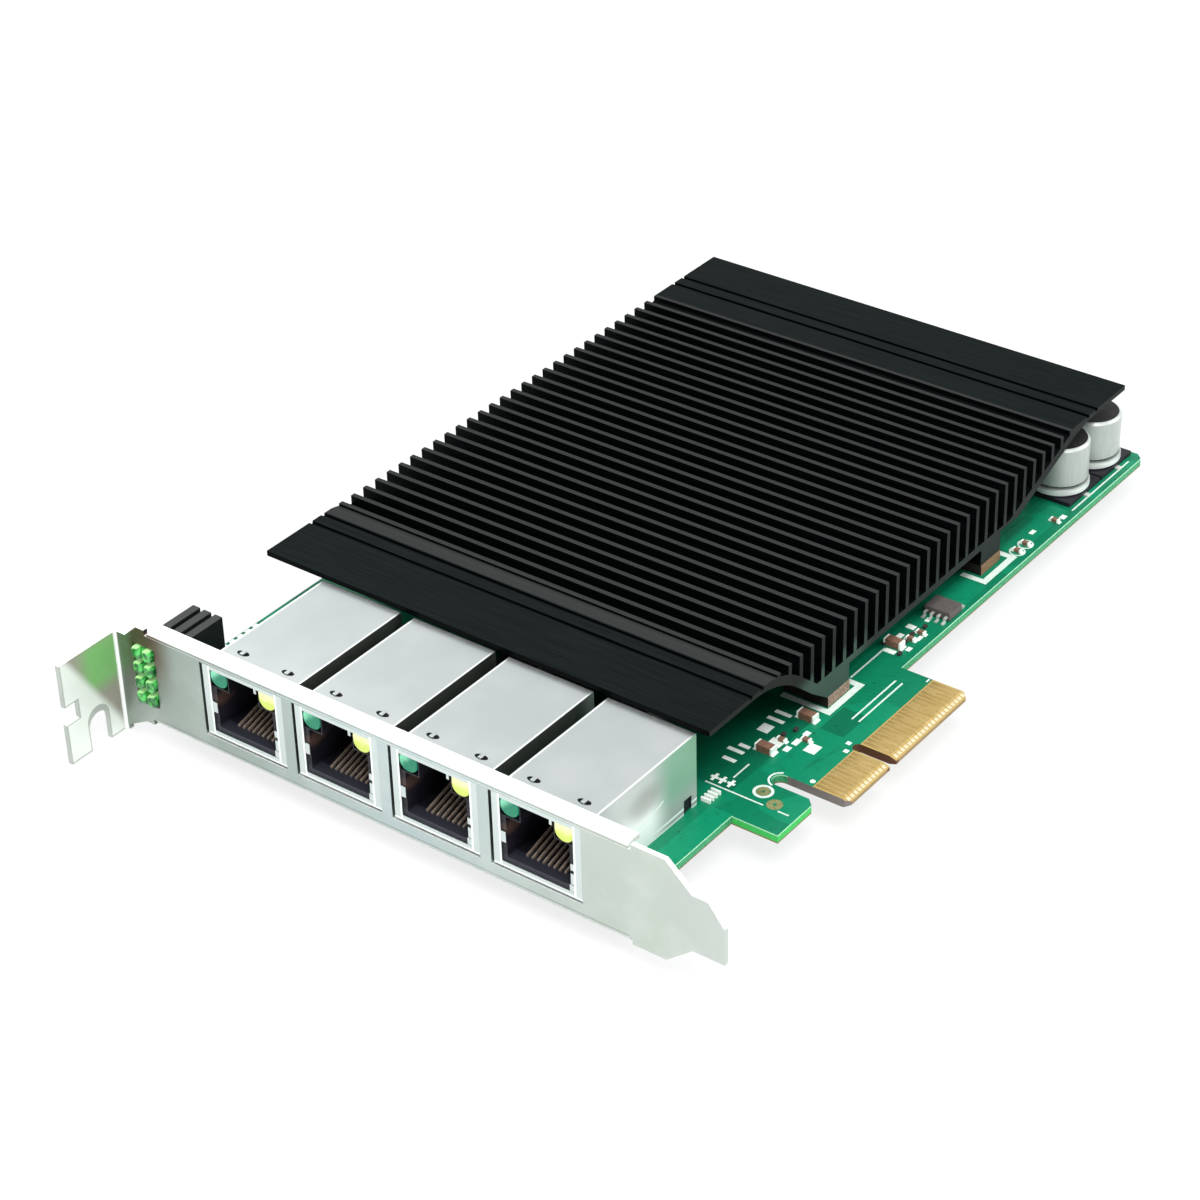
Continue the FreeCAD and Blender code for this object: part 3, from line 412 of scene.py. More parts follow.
tinLook = {
    "top": (0.50, 0.545, 0.545),
    "topPale": (0.565, 0.605, 0.60),
    "line": (0.92, 0.95, 0.95),
    "sideFold": 0.35,
    "rearFold": 0.5,
    "slot": (5.85, 4.7, 0.62, 1.2),
    "slotShade": (0.012, 0.012, 0.012),
    "front": (0.58, 0.64, 0.62),
    "frontHighlight": (0.90, 0.94, 0.92),
    "windowRim": (6.75, 7.15),
    "sillHigh": 0.35,
    "gap": (0.42, 0.45, 0.42),
    "gapFrom": 0.4,
    "side": (0.38, 0.42, 0.40),
    "sideWhiteReflection": (0.96, 0.98, 0.96),
    "glowStart": (3.5, 9.5),
    "glowEnd": (16.5, 23.0),
    "glowHigh": (8.5, 13.5),
    "sideGreenReflection": (0.19, 0.42, 0.28),
    "greenStart": (16.5, 24.0),
    "greenHigh": (5.5, 10.5),
    "sideWarmReflection": (0.27, 0.265, 0.24),
    "warmPlace": (16.0, 12.2, 0.17, 0.26),
    "warmSoft": (0.25, 1.0),
    "sideMetal": 0.15,
    "creaseFrom": (11.5, 8.0),
    "creaseTo": 20.5,
    "creaseRise": 0.02,
    "creaseHalf": 0.14,
    "footHigh": 0.3,
    "footBand": (0.95, 1.4),
}


def creaseMask(x, z):
    # the stamped line that curves up along the last port's side
    creaseX, creaseZ = tinLook["creaseFrom"]
    rise = (x - creaseX) * (x - creaseX) * tinLook["creaseRise"]
    return (abs(z - creaseZ - rise) < tinLook["creaseHalf"]) * x.between(creaseX, tinLook["creaseTo"])


def openSideTone(paint, x, z, crease):
    # the last port's side, with painted reflections: white near the bracket and low down, green high at the
    # rear and a warm patch between them; the crease and pale bands along the foot are painted highlights
    glow = x.ramp(*tinLook["glowStart"]) * (1 - x.ramp(*tinLook["glowEnd"]))
    glow = glow * (1 - z.ramp(*tinLook["glowHigh"]) * 0.75)
    tone = paint.blend(glow, tinLook["side"], tinLook["sideWhiteReflection"])
    green = x.ramp(*tinLook["greenStart"]) * z.ramp(*tinLook["greenHigh"])
    tone = paint.blend(green * 0.85, tone, tinLook["sideGreenReflection"])
    warmX, warmZ, shareX, shareZ = tinLook["warmPlace"]
    warm = 1 - ((x - warmX) * shareX).reach((z - warmZ) * shareZ).ramp(*tinLook["warmSoft"])
    tone = paint.blend(warm * 0.55, tone, tinLook["sideWarmReflection"])
    bandLow, bandHigh = tinLook["footBand"]
    band = (z < boardTop + tinLook["footHigh"]).either(z.between(boardTop + bandLow, boardTop + bandHigh))
    return paint.blend(crease.either(band), tone, tinLook["line"])


def shieldTin():
    paint = Paint("shieldTin")
    x, y, z = paint.place()
    nx, ny, nz = paint.facing()
    cloud = paint.noise(14.0, 2.0)
    brush = paint.noise(0.3, 3.0, 0.6, (12, 1, 1))
    color = paint.blend(cloud.ramp(0.3, 0.7), tinLook["top"], tinLook["topPale"])
    # painted highlights as bright folds along the sides and the rear of each top
    local = abs(fromPortMiddle(y))
    folds = (local > portHalf - tinLook["sideFold"]).either(x > portRear - tinLook["rearFold"]) * (nz > 0.5)
    color = paint.blend(folds, color, tinLook["line"])
    # each slot in the top is rounded and painted dark as the shade within it, and the bridge across it stays
    # bright
    slotX, slotY, reachX, reachY = tinLook["slot"]
    hollow = ((x - slotX) * (1 / reachX)).reach((local - slotY) * (1 / reachY)) < 1.0
    color = paint.blend(hollow * (z < portTop + 0.02) * (nz > 0.5), color, tinLook["slotShade"])
    # the front faces get their own paler painted tone, with painted highlights round each window and along
    # the sill
    rim = local.between(*tinLook["windowRim"]).either(z < boardTop + tinLook["sillHigh"])
    color = paint.blend(nx < -0.5, color, paint.blend(rim, tinLook["front"], tinLook["frontHighlight"]))
    side = abs(ny) > 0.5
    # painted shade on the sides that face each other between the ports
    gapSideShade = side * (y > lastSide + 0.1) * (x > tinLook["gapFrom"])
    color = paint.blend(gapSideShade, color, tinLook["gap"])
    lastFace = side * (y < lastSide + 0.1)
    crease = creaseMask(x, z)
    color = paint.blend(lastFace, color, openSideTone(paint, x, z, crease))
    return paint.finish(color, Roughness=0.26 + brush * 0.16, Normal=paint.bump(brush - crease * 4.0, 0.006),
                        Metallic=1 - lastFace * (1 - tinLook["sideMetal"]))


plasticLook = {
    "dull": (0.005, 0.005, 0.008),
    "pale": (0.014, 0.012, 0.020),
    "mouth": (0.027, 0.029, 0.039),
    "mouthDeep": 2.6,
    "mouthHigh": 2.2,
    "sheen": (0.105, 0.058, 0.045),
    "sheenPlace": (2.2, 10.6, 0.6),
    "sheenSoft": (0.6, 1.9),
    "sheenSide": (4.8, 7.5),
}


def blackPlastic():
    paint = Paint("blackPlastic", Specular_IOR_Level=0.3)
    x, y, z = paint.place()
    grain = paint.noise(0.35)
    cloud = paint.noise(5.0, 2.0)
    color = paint.blend(cloud.ramp(0.3, 0.7), plasticLook["dull"], plasticLook["pale"])
    # the cavities' floors catch light at the mouth, and a warm sheen lies on the wall by each green pipe
    inPort = (y < portMiddles[0] + portHalf) * (x < portRear)
    mouth = x.between(0.0, plasticLook["mouthDeep"]) * (z < boardTop + plasticLook["mouthHigh"]) * inPort
    color = paint.blend(mouth, color, plasticLook["mouth"])
    sheenX, sheenZ, shareX = plasticLook["sheenPlace"]
    sheen = 1 - ((x - sheenX) * shareX).reach(z - sheenZ).ramp(*plasticLook["sheenSoft"])
    onWall = fromPortMiddle(y).between(*plasticLook["sheenSide"])
    color = paint.blend(sheen * inPort * onWall * 0.8, color, plasticLook["sheen"])
    return paint.finish(color, Roughness=0.38 + grain * 0.22, Normal=paint.bump(grain, 0.015))


sinkLook = {
    "wing": (0.002, 0.004, 0.004),
    "streak": (0.007, 0.010, 0.010),
    "fin": (0.0010, 0.0010, 0.0014),
    "finTop": (0.029, 0.030, 0.030),
    "finTopFrom": 17.5,
    "cut": (0.020, 0.023, 0.022),
    "cutBase": (0.026, 0.033, 0.030),
    "cutFoot": (0.060, 0.102, 0.083),
    "baseHigh": (11.0, 13.5),
    "footStart": (50.0, 58.0),
    "footEnd": (69.0, 76.0),
    "wings": (44.0, 139.0),
}


def anodised():
    paint = Paint("anodised", Specular_IOR_Level=0.03)
    x, z = paint.place("XZ")
    ny, nz = paint.facing("YZ")
    streak = paint.noise(0.22, 3.0, 0.6, (1, 60, 1))
    pits = paint.noise(0.3, 3.0, 0.7)
    saw = paint.noise(0.2, 2.0, 0.5, (6, 1, 1))
    wingNear, wingFar = sinkLook["wings"]
    wing = (x < wingNear).either(x > wingFar)
    upper = nz > 0.8
    lines = streak.ramp(0.35, 0.7)
    color = paint.blend(lines, sinkLook["fin"], sinkLook["wing"])
    color = paint.blend(upper * (1 - wing) * (z > sinkLook["finTopFrom"]), color, sinkLook["finTop"])
    wingTone = paint.blend(lines, sinkLook["wing"], sinkLook["streak"])
    color = paint.blend(upper * wing, color, wingTone)
    # the sawn ends are paler, most of all at the base and at the near foot
    foot = x.ramp(*sinkLook["footStart"]) * (1 - x.ramp(*sinkLook["footEnd"]))
    low = 1 - z.ramp(*sinkLook["baseHigh"])
    cutTone = paint.blend(low, sinkLook["cut"], sinkLook["cutBase"])
    cutTone = paint.blend(low * foot, cutTone, sinkLook["cutFoot"])
    color = paint.blend((abs(ny) > 0.8) * (0.78 + saw * 0.3), color, cutTone)
    roughness = 0.42 + streak * 0.12 + pits * 0.08
    return paint.finish(color, Roughness=roughness, Normal=paint.bump(streak * 0.7 + pits * 0.3, 0.012))


lensLooks = {
    "greenLens": {"deep": (0.001, 0.205, 0.105), "bright": (0.24, 0.72, 0.46), "glow": 0.18, "turn": 13.9,
                  "lean": 0.3},
    "yellowLens": {"deep": (0.58, 0.68, 0.13), "bright": (0.90, 0.94, 0.48), "glow": 0.24, "turn": 13.5,
                   "lean": 0.0},
}
pipeMiddle = 5.6


def lensPlastic(name):
    # painted highlight: bright above the level turn, and towards the port's outer side by the share lean;
    # the emission is a painted glow
    look = lensLooks[name]
    paint = Paint(name, Coat_Weight=0.12, Coat_Roughness=0.08, Emission_Strength=look["glow"],
                  Specular_IOR_Level=0.3)
    y, z = paint.place("YZ")
    cloud = paint.noise(1.1, 2.0)
    outwards = fromPortMiddle(y) - pipeMiddle
    rise = ((z - look["turn"]) * 0.36 + outwards * look["lean"]).ramp(0.0, 1.0)
    color = paint.blend((rise * 0.7 + cloud * 0.5).ramp(0.35, 1.05), look["deep"], look["bright"])
    return paint.finish(color, Roughness=0.12 + cloud * 0.15, Emission_Color=color)


statusLook = {
    "deep": (0.003, 0.110, 0.016),
    "pale": (0.075, 0.560, 0.100),
    "crescentHighlight": (0.52, 0.96, 0.38),
    "shade": (0.002, 0.050, 0.010),
}


def statusPlastic():
    # a painted highlight as a bright crescent above and towards the tab, painted shade as a dark one across
    # from it, and a painted glow
    paint = Paint("statusLens", Coat_Weight=0.6, Coat_Roughness=0.06, Emission_Strength=0.22)
    ny, nz = paint.facing("YZ")
    cloud = paint.noise(1.1)
    color = paint.blend(cloud.ramp(0.4, 0.65), statusLook["deep"], statusLook["pale"])
    slant = ny * 0.6 + nz * 0.8
    color = paint.blend(slant.ramp(0.12, 0.6) * 0.85, color, statusLook["crescentHighlight"])
    color = paint.blend((0 - slant).ramp(0.35, 0.85) * 0.8, color, statusLook["shade"])
    return paint.finish(color, Roughness=0.10 + cloud * 0.15, Emission_Color=color)


foamLook = {
    "pore": (0.150, 0.092, 0.070),
    "skin": (0.360, 0.255, 0.195),
    "far": (0.190, 0.115, 0.048),
    "farFrom": 100.0,
    "nearFaceShade": (0.014, 0.011, 0.009),
}


def brownFoam():
    paint = Paint("brownFoam", Roughness=0.85, Specular_IOR_Level=0.2)
    [x] = paint.place("X")
    [nx] = paint.facing("X")
    pores = paint.cells(0.45)
    color = paint.blend(pores.ramp(0.1, 0.6), foamLook["pore"], foamLook["skin"])
    color = paint.blend((x > foamLook["farFrom"]) * 0.7, color, foamLook["far"])
    # painted shade on the faces turned towards the bracket
    color = paint.blend(nx < -0.5, color, foamLook["nearFaceShade"])
    return paint.finish(color, Normal=paint.bump(pores, 0.06))


canLook = {
    "dull": (0.385, 0.425, 0.395),
    "bright": (0.425, 0.465, 0.435),
    "band": (0.90, 0.94, 0.91),
    "grooveShade": (0.12, 0.14, 0.13),
    "rings": [(1.0, 2.0, 0.8, "band"), (2.15, 2.7, 0.8, "grooveShade"), (9.75, 10.05, 0.25, "band")],
    "lid": (0.007, 0.007, 0.007),
    "lidShadowMottle": (0.020, 0.019, 0.018),
    "lidFrom": 9.0,
    "metal": 0.25,
}


def canSleeve():
    paint = Paint("canSleeve", Specular_IOR_Level=0.3)
    [z] = paint.place("Z")
    [nz] = paint.facing("Z")
    height = z - boardTop
    brush = paint.noise(0.4, 3.0, 0.5, (1, 1, 12))
    color = paint.blend(brush.ramp(0.3, 0.7), canLook["dull"], canLook["bright"])
    # painted highlights on the bulge near the foot and on the top rim, and painted shade in the groove just
    # above the bulge
    for low, high, share, tone in canLook["rings"]:
        color = paint.blend(height.between(low, high) * share, color, canLook[tone])
    # painted shadow: the lids, under the heat sink's wing, are painted near black with a faint mottle
    lid = (nz > 0.9) * (height > canLook["lidFrom"])
    lidMottle = paint.noise(1.2).ramp(0.3, 0.7)
    color = paint.blend(lid, color, paint.blend(lidMottle, canLook["lid"], canLook["lidShadowMottle"]))
    return paint.finish(color, Roughness=0.30 + brush * 0.12 + lid * 0.2,
                        Metallic=canLook["metal"] - lid * canLook["metal"])


mouldTones = {
    "chipMould": (0.030, 0.026, 0.025),
    "ferriteGrey": (0.10, 0.10, 0.105),
    "regulatorMould": (0.080, 0.070, 0.066),
}


def chipMould(name):
    tone = mouldTones[name]
    paint = Paint(name, Specular_IOR_Level=0.25)
    grain = paint.noise(0.22, 3.0, 0.7)
    color = paint.blend(grain.ramp(0.3, 0.8), tone, tuple(1.9 * part for part in tone))
    return paint.finish(color, Roughness=0.5 + grain * 0.2, Normal=paint.bump(grain, 0.012))


# what a plain finish has where its own entry doesn't say otherwise
commonFinish = {"detail": 3.0, "ramp": (0.3, 0.7), "metal": 0.0, "gloss": 0.5, "glow": 0.0, "dent": 0.0,
                "top": None}
finishes = {
    "holderPlastic": {"tones": ((0.003, 0.004, 0.004), (0.008, 0.010, 0.010)), "grain": 0.4,
                      "rough": (0.45, 0.2), "gloss": 0.3, "dent": 0.015, "top": (0.026, 0.031, 0.029)},
    "contactWire": {"tones": ((0.30, 0.23, 0.18), (0.48, 0.38, 0.30)), "grain": 0.7, "rough": (0.35, 0.2),
                    "metal": 0.35},
    "zincScrew": {"tones": ((0.42, 0.43, 0.42), (0.62, 0.63, 0.62)), "grain": 0.5, "rough": (0.24, 0.25),
                  "metal": 1.0},
    "softPad": {"tones": ((0.20, 0.26, 0.32), (0.30, 0.36, 0.42)), "grain": 0.6, "rough": (0.85, 0.0),
                "detail": 4.0, "dent": 0.05},
    "tinned": {"tones": ((0.60, 0.63, 0.58), (0.80, 0.83, 0.78)), "grain": 0.4, "rough": (0.22, 0.25),
               "metal": 0.45, "dent": 0.02},
    "brownCeramic": {"tones": ((0.17, 0.085, 0.055), (0.29, 0.165, 0.11)), "grain": 0.3, "rough": (0.4, 0.2),
                     "gloss": 0.3, "dent": 0.015},
    "printWhite": {"tones": ((0.60, 0.74, 0.65), (0.80, 0.88, 0.82)), "grain": 0.25, "rough": (0.52, 0.15),
                   "ramp": (0.35, 0.7), "gloss": 0.2},
    # the pads have a painted glow, so that those in the heat sink's shade stay pale
    "solderPad": {"tones": ((0.68, 0.80, 0.71), (0.92, 0.95, 0.90)), "grain": 0.35, "rough": (0.3, 0.3),
                  "glow": 0.14, "dent": 0.02},
    "olivePad": {"tones": ((0.26, 0.28, 0.105), (0.42, 0.42, 0.20)), "grain": 0.5, "rough": (0.32, 0.3),
                 "metal": 0.5},
}


def plainFinish(name):
    # a fine grain between two tones, which may roughen and dent it, and some have a paler painted tone on
    # top as painted light
    look = {**commonFinish, **finishes[name]}
    roughness, grainShare = look["rough"]
    paint = Paint(name, Roughness=roughness, Metallic=look["metal"], Specular_IOR_Level=look["gloss"],
                  Emission_Strength=look["glow"])
    grain = paint.noise(look["grain"], look["detail"])
    color = paint.blend(grain.ramp(*look["ramp"]), *look["tones"])
    # painted light: the upward faces take the entry's paler top tone
    if look["top"]:
        [nz] = paint.facing("Z")
        color = paint.blend(nz > 0.5, color, look["top"])
    values = {}
    if grainShare:
        values["Roughness"] = roughness + grain * grainShare
    if look["dent"]:
        values["Normal"] = paint.bump(grain, look["dent"])
    if look["glow"]:
        values["Emission_Color"] = color
    return paint.finish(color, **values)


looks = {
    "board": solderMask(),
    "gold": goldPlate(),
    "wire": plainFinish("contactWire"),
    "steel": bracketSteel(),
    "tin": shieldTin(),
    "black": blackPlastic(),
    "holder": plainFinish("holderPlastic"),
    "sink": anodised(),
    "green": lensPlastic("greenLens"),
    "yellow": lensPlastic("yellowLens"),
    "status": statusPlastic(),
    "foam": brownFoam(),
    "screw": plainFinish("zincScrew"),
    "mould": chipMould("chipMould"),
    "ferrite": chipMould("ferriteGrey"),
    "regulator": chipMould("regulatorMould"),
    "softPad": plainFinish("softPad"),
    "can": canSleeve(),
    "tinned": plainFinish("tinned"),
    "ceramic": plainFinish("brownCeramic"),
    "print": plainFinish("printWhite"),
    "pad": plainFinish("solderPad"),
    "olive": plainFinish("olivePad"),
}
nodeLooks = {
    "circuit_board": "board", "edge_contacts": "gold", "bracket": "steel", "light_holder": "holder",
    "link_lights": "green", "activity_lights": "yellow", "status_lights": "status", "heat_sink": "sink",
    "sink_gaskets": "foam", "sink_screws": "screw", "bracket_screws": "screw", "controllers": "mould",
    "thermal_pads": "softPad", "capacitor_cans": "can", "capacitor_bases": "black",
    "capacitor_leads": "tinned", "regulator": "regulator", "regulator_leads": "tinned",
    "power_coils": "ferrite", "ceramic_capacitors": "ceramic", "chip_resistors": "ceramic",
}
for port in range(1, 5):
    nodeLooks["shield_%d" % port] = "tin"
    nodeLooks["insert_%d" % port] = "black"
    nodeLooks["contacts_%d" % port] = "wire"
for nodeName, lookName in nodeLooks.items():
    nodes[nodeName].data.materials.clear()
    nodes[nodeName].data.materials.append(looks[lookName])
print("materials on", len(nodeLooks), "nodes")


def block(mesh, low, high):
    made = bmesh.ops.create_cube(mesh, size=1.0)["verts"]
    bmesh.ops.scale(mesh, vec=[high[axis] - low[axis] for axis in range(3)], verts=made)
    bmesh.ops.translate(mesh, vec=[(high[axis] + low[axis]) / 2 for axis in range(3)], verts=made)
    return made


def sidesOf(made):
    return list({side for corner in made for side in corner.link_edges})


def lengthwise(made):
    # a block's four edges that run along x
    return [side for side in sidesOf(made) if abs(side.verts[0].co.x - side.verts[1].co.x) > 0.5]


def sidesAt(mesh, x):
    # the edges that lie in the plane at x
    return [side for side in mesh.edges if all(abs(corner.co.x - x) < 0.001 for corner in side.verts)]


def roundEdges(mesh, edges, radius, segments=2):
    bmesh.ops.bevel(mesh, geom=edges, offset=radius, offset_type="OFFSET", segments=segments, profile=0.5,
                    affect="EDGES", material=-1, clamp_overlap=True)


def softBlock(mesh, low, high, radius):
    roundEdges(mesh, sidesOf(block(mesh, low, high)), radius)


def cross(mesh, x, y, reach, rise, half, low, high):
    # a bar along x, and a short bar on each side of it
    block(mesh, (x - reach, y - half, low), (x + reach, y + half, high))
    for side in (-1, 1):
        y0, y1 = sorted((y + side * half, y + side * rise))
        block(mesh, (x - half, y0, low), (x + half, y1, high))


def disc(mesh, centre, radius, low, high, sides, topRadius=None):
    made = bmesh.ops.create_cone(mesh, cap_ends=True, segments=sides, radius1=radius,
                                 radius2=topRadius or radius, depth=high - low)["verts"]
    bmesh.ops.translate(mesh, vec=(centre[0], centre[1], (low + high) / 2), verts=made)


def ring(mesh, centre, inner, outer, low, high, start=0.0, turn=math.tau, steps=32):
    # a four-sided outline spun about the centre, its two ends filled where the turn isn't full
    corners = [mesh.verts.new((centre[0] + radius, centre[1], level))
               for radius, level in ((inner, low), (outer, low), (outer, high), (inner, high))]
    outline = [mesh.edges.new((corners[place - 1], corners[place])) for place in range(4)]
    turned = Matrix.Rotation(start, 3, "Z")
    bmesh.ops.rotate(mesh, cent=(*centre, 0), matrix=turned, verts=corners)
    full = turn >= math.tau
    bmesh.ops.spin(mesh, geom=[*corners, *outline], cent=(*centre, 0), axis=(0, 0, 1), angle=turn,
                   steps=steps, use_merge=full, use_duplicate=False)
    if not full:
        bmesh.ops.holes_fill(mesh, edges=[side for side in mesh.edges if side.is_boundary], sides=4)


def plate(mesh, outline, low, high):
    # a flat piece raised from its outline
    face = mesh.faces.new([mesh.verts.new((x, y, low)) for x, y in outline])
    raised = bmesh.ops.extrude_face_region(mesh, geom=[face])["geom"]
    corners = [part for part in raised if isinstance(part, bmesh.types.BMVert)]
    bmesh.ops.translate(mesh, vec=(0, 0, high - low), verts=corners)


def strip(mesh, start, end, width, low, high):
    # a straight line of print between two points on the board
    run = Vector((end[0] - start[0], end[1] - start[1], 0))
    made = block(mesh, (0, -width / 2, low), (run.length, width / 2, high))
    turn = Matrix.Rotation(math.atan2(run.y, run.x), 3, "Z")
    bmesh.ops.rotate(mesh, cent=(0, 0, 0), matrix=turn, verts=made)
    bmesh.ops.translate(mesh, vec=(start[0], start[1], 0), verts=made)


def inScene(name, data):
    made = bpy.data.objects.new(name, data)
    bpy.context.scene.collection.objects.link(made)
    return made


def meshInScene(name, mesh, material):
    data = bpy.data.meshes.new(name)
    mesh.to_mesh(data)
    mesh.free()
    data.materials.append(material)
    return inScene(name, data)


def piece(name, mesh, look):
    # the mesh is drawn in the card's millimetres, and its place is put into its points
    bmesh.ops.recalc_face_normals(mesh, faces=mesh.faces)
    for corner in mesh.verts:
        corner.co = placed(*corner.co)
    made = meshInScene(name, mesh, looks[look])
    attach(made, "root")
    return made


boardPrint = {
    "thick": 0.03,
    "frameWide": 1.2,
    "frames": [(60.3, 70.7, -98.4, -88.8, -94.1), (107.3, 117.9, -99.1, -94.0, -95.7)],
    "lines": [((34.7, -92.2), (34.7, -103.0)), ((34.7, -105.7), (34.7, -107.7)),
              ((71.0, -95.4), (81.5, -95.4)), ((136.4, -99.3), (156.9, -99.3)),
              ((77.0, -106.1), (78.0, -106.1)), ((37.9, -95.3), (42.2, -95.3))],
    "lineWide": 0.3,
    "plainBars": [(61.5, 74.5, -102.0, -101.7), (61.5, 74.5, -103.3, -103.0)],
    "notchArc": (41.55, -101.65, 1.7, 2.05),
    "arcTurn": (0.35, 2.6),
    "arcSteps": 16,
    "rings": [(37.6, -101.1, 1.2, 1.7), (119.4, -98.2, 1.15, 1.45), (122.2, -98.2, 1.15, 1.45)],
}


def printOnBoard():
    # frames open at their upper side, lines, bars, an arc by the notch and rings
    mesh = bmesh.new()
    low, high = boardTop, boardTop + boardPrint["thick"]
    wide = boardPrint["frameWide"]
    for x0, x1, y0, leftEnd, rightEnd in boardPrint["frames"]:
        outline = [(x0, y0), (x1, y0), (x1, rightEnd), (x1 - wide, rightEnd), (x1 - wide, y0 + wide),
                   (x0 + wide, y0 + wide), (x0 + wide, leftEnd), (x0, leftEnd)]
        plate(mesh, outline, low, high)
    for start, end in boardPrint["lines"]:
        strip(mesh, start, end, boardPrint["lineWide"], low, high)
    for x0, x1, y0, y1 in boardPrint["plainBars"]:
        block(mesh, (x0, y0, low), (x1, y1, high))
    x, y, inner, outer = boardPrint["notchArc"]
    ring(mesh, (x, y), inner, outer, low, high, *boardPrint["arcTurn"], boardPrint["arcSteps"])
    for x, y, inner, outer in boardPrint["rings"]:
        ring(mesh, (x, y), inner, outer, low, high)
    piece("boardPrint", mesh, "print")


printOnBoard()

flatPads = {
    "thick": 0.05,
    "bars": [(41.5, -93.2, -90.8), (44.0, -93.0, -90.0), (45.7, -93.0, -91.0), (56.5, -93.6, -90.6),
             (54.4, -93.6, -90.5)],
    "barWide": 0.8,
    "squares": [(50.5, 52.7, -93.0, -91.0), (50.0, 52.4, -102.2, -100.1), (48.3, 50.3, -96.7, -94.4),
                (48.2, 49.6, -98.4, -97.4), (53.5, 54.7, -98.7, -97.7), (50.4, 52.1, -98.6, -97.6),
                (55.3, 56.1, -105.4, -104.6), (53.3, 54.1, -106.2, -105.4), (80.6, 81.7, -97.6, -95.6),
                (85.0, 86.6, -96.0, -95.0), (88.6, 89.8, -96.4, -94.8), (82.8, 84.0, -99.2, -98.4),
                (86.4, 87.8, -98.9, -98.2), (92.0, 93.2, -97.2, -96.4), (125.6, 127.0, -97.6, -96.8),
                (133.0, 134.3, -99.6, -98.6)],
    "crosses": [(36.4, -92.8), (36.4, -94.3), (36.4, -95.9)],
    "crossReach": 0.95,
    "crossRise": 0.7,  # the short bars' share of the long one
    "crossWide": 0.5,
    "dot": (44.1, -105.9, 0.45),
    "upperRow": {"count": 6, "first": 17.5, "pitch": 1.9, "y": -5.6, "half": 0.55},
}


def solderPads():
    mesh = bmesh.new()
    low, high = boardTop, boardTop + flatPads["thick"]
    half = flatPads["barWide"] / 2
    for x, y0, y1 in flatPads["bars"]:
        block(mesh, (x - half, y0, low), (x + half, y1, high))
    for x0, x1, y0, y1 in flatPads["squares"]:
        block(mesh, (x0, y0, low), (x1, y1, high))
    reach = flatPads["crossReach"]
    for x, y in flatPads["crosses"]:
        cross(mesh, x, y, reach, reach * flatPads["crossRise"], flatPads["crossWide"] / 2, low, high)
    x, y, radius = flatPads["dot"]
    disc(mesh, (x, y), radius, low, high, sides=16)
    row = flatPads["upperRow"]
    y, half = row["y"], row["half"]
    for place in range(row["count"]):
        x = row["first"] + row["pitch"] * place
        block(mesh, (x - half, y - half, low), (x + half, y + half, high))
    piece("solderPads", mesh, "pad")


solderPads()

tinyChips = {
    "places": [(51.6, -95.4), (53.8, -96.3), (81.2, -98.4), (84.6, -97.3), (87.2, -97.0), (90.3, -97.6),
               (82.4, -94.6)],
    "size": (0.45, 0.3, 0.5),
    "round": 0.05,
}


def darkBits():
    # tiny dark chips between the pads
    mesh = bmesh.new()
    halfX, halfY, high = tinyChips["size"]
    for x, y in tinyChips["places"]:
        softBlock(mesh, (x - halfX, y - halfY, boardTop), (x + halfX, y + halfY, boardTop + high),
                  tinyChips["round"])
    piece("darkBits", mesh, "mould")


darkBits()

rearPins = {"columns": (30.3, 31.2, 32.1, 33.0), "y": -95.4, "half": (0.18, 0.9), "high": 0.8, "round": 0.08}


def portRearPins():
    # the last port's outer pins, bent down to the board beside its rear corner
    mesh = bmesh.new()
    y, top = rearPins["y"], boardTop + rearPins["high"]
    halfX, halfY = rearPins["half"]
    for x in rearPins["columns"]:
        softBlock(mesh, (x - halfX, y - halfY, boardTop), (x + halfX, y + halfY, top), rearPins["round"])
    piece("portRearPins", mesh, "pad")


portRearPins()

cornerPads = {"thick": 0.045, "places": [(37.6, -101.1, 1.1), (35.8, -104.4, 1.3)], "holeShare": 0.25}


def hookPads():
    mesh = bmesh.new()
    for x, y, radius in cornerPads["places"]:
        hole = radius * cornerPads["holeShare"]
        ring(mesh, (x, y), hole, radius, boardTop, boardTop + cornerPads["thick"])
    piece("hookPads", mesh, "olive")


hookPads()

# each spot is a place along the card and a distance in from the board's long edge
partEnds = {
    "small": {"spots": [(57.6, 4.6), (46.6, 5.2), (83.0, 4.4)], "size": (0.8, 1.6, 1.25)},
    "tiny": {"spots": [(50.2, 4.6), (52.4, 1.4), (85.9, 3.0), (88.4, 2.6), (119.4, 2.4), (122.2, 2.4),
                       (131.6, 2.0)], "size": (0.4, 0.8, 0.6)},
    "capLong": 0.3,
    "skin": 0.03,
    "round": 0.04,
    "fillet": 0.35,
    "filletHigh": 0.12,
}


def silverEnds():
    # the tinned ends of the ceramic parts, a little proud of the body, each on its own solder
    mesh = bmesh.new()
    skin = partEnds["skin"]
    for group in (partEnds["small"], partEnds["tiny"]):
        half, reach, high = group["size"]
        top = boardTop + high + skin
        for x, inwards in group["spots"]:
            y = lowerEdge + inwards
            for side in (-1, 1):
                y0, y1 = sorted((y + side * (reach - partEnds["capLong"]), y + side * (reach + skin)))
                softBlock(mesh, (x - half - skin, y0, boardTop), (x + half + skin, y1, top),
                          partEnds["round"])
                y0, y1 = sorted((y + side * (reach + skin), y + side * (reach + partEnds["fillet"])))
                block(mesh, (x - half, y0, boardTop), (x + half, y1, boardTop + partEnds["filletHigh"]))
    piece("silverEnds", mesh, "pad")


silverEnds()
print("board dressed")

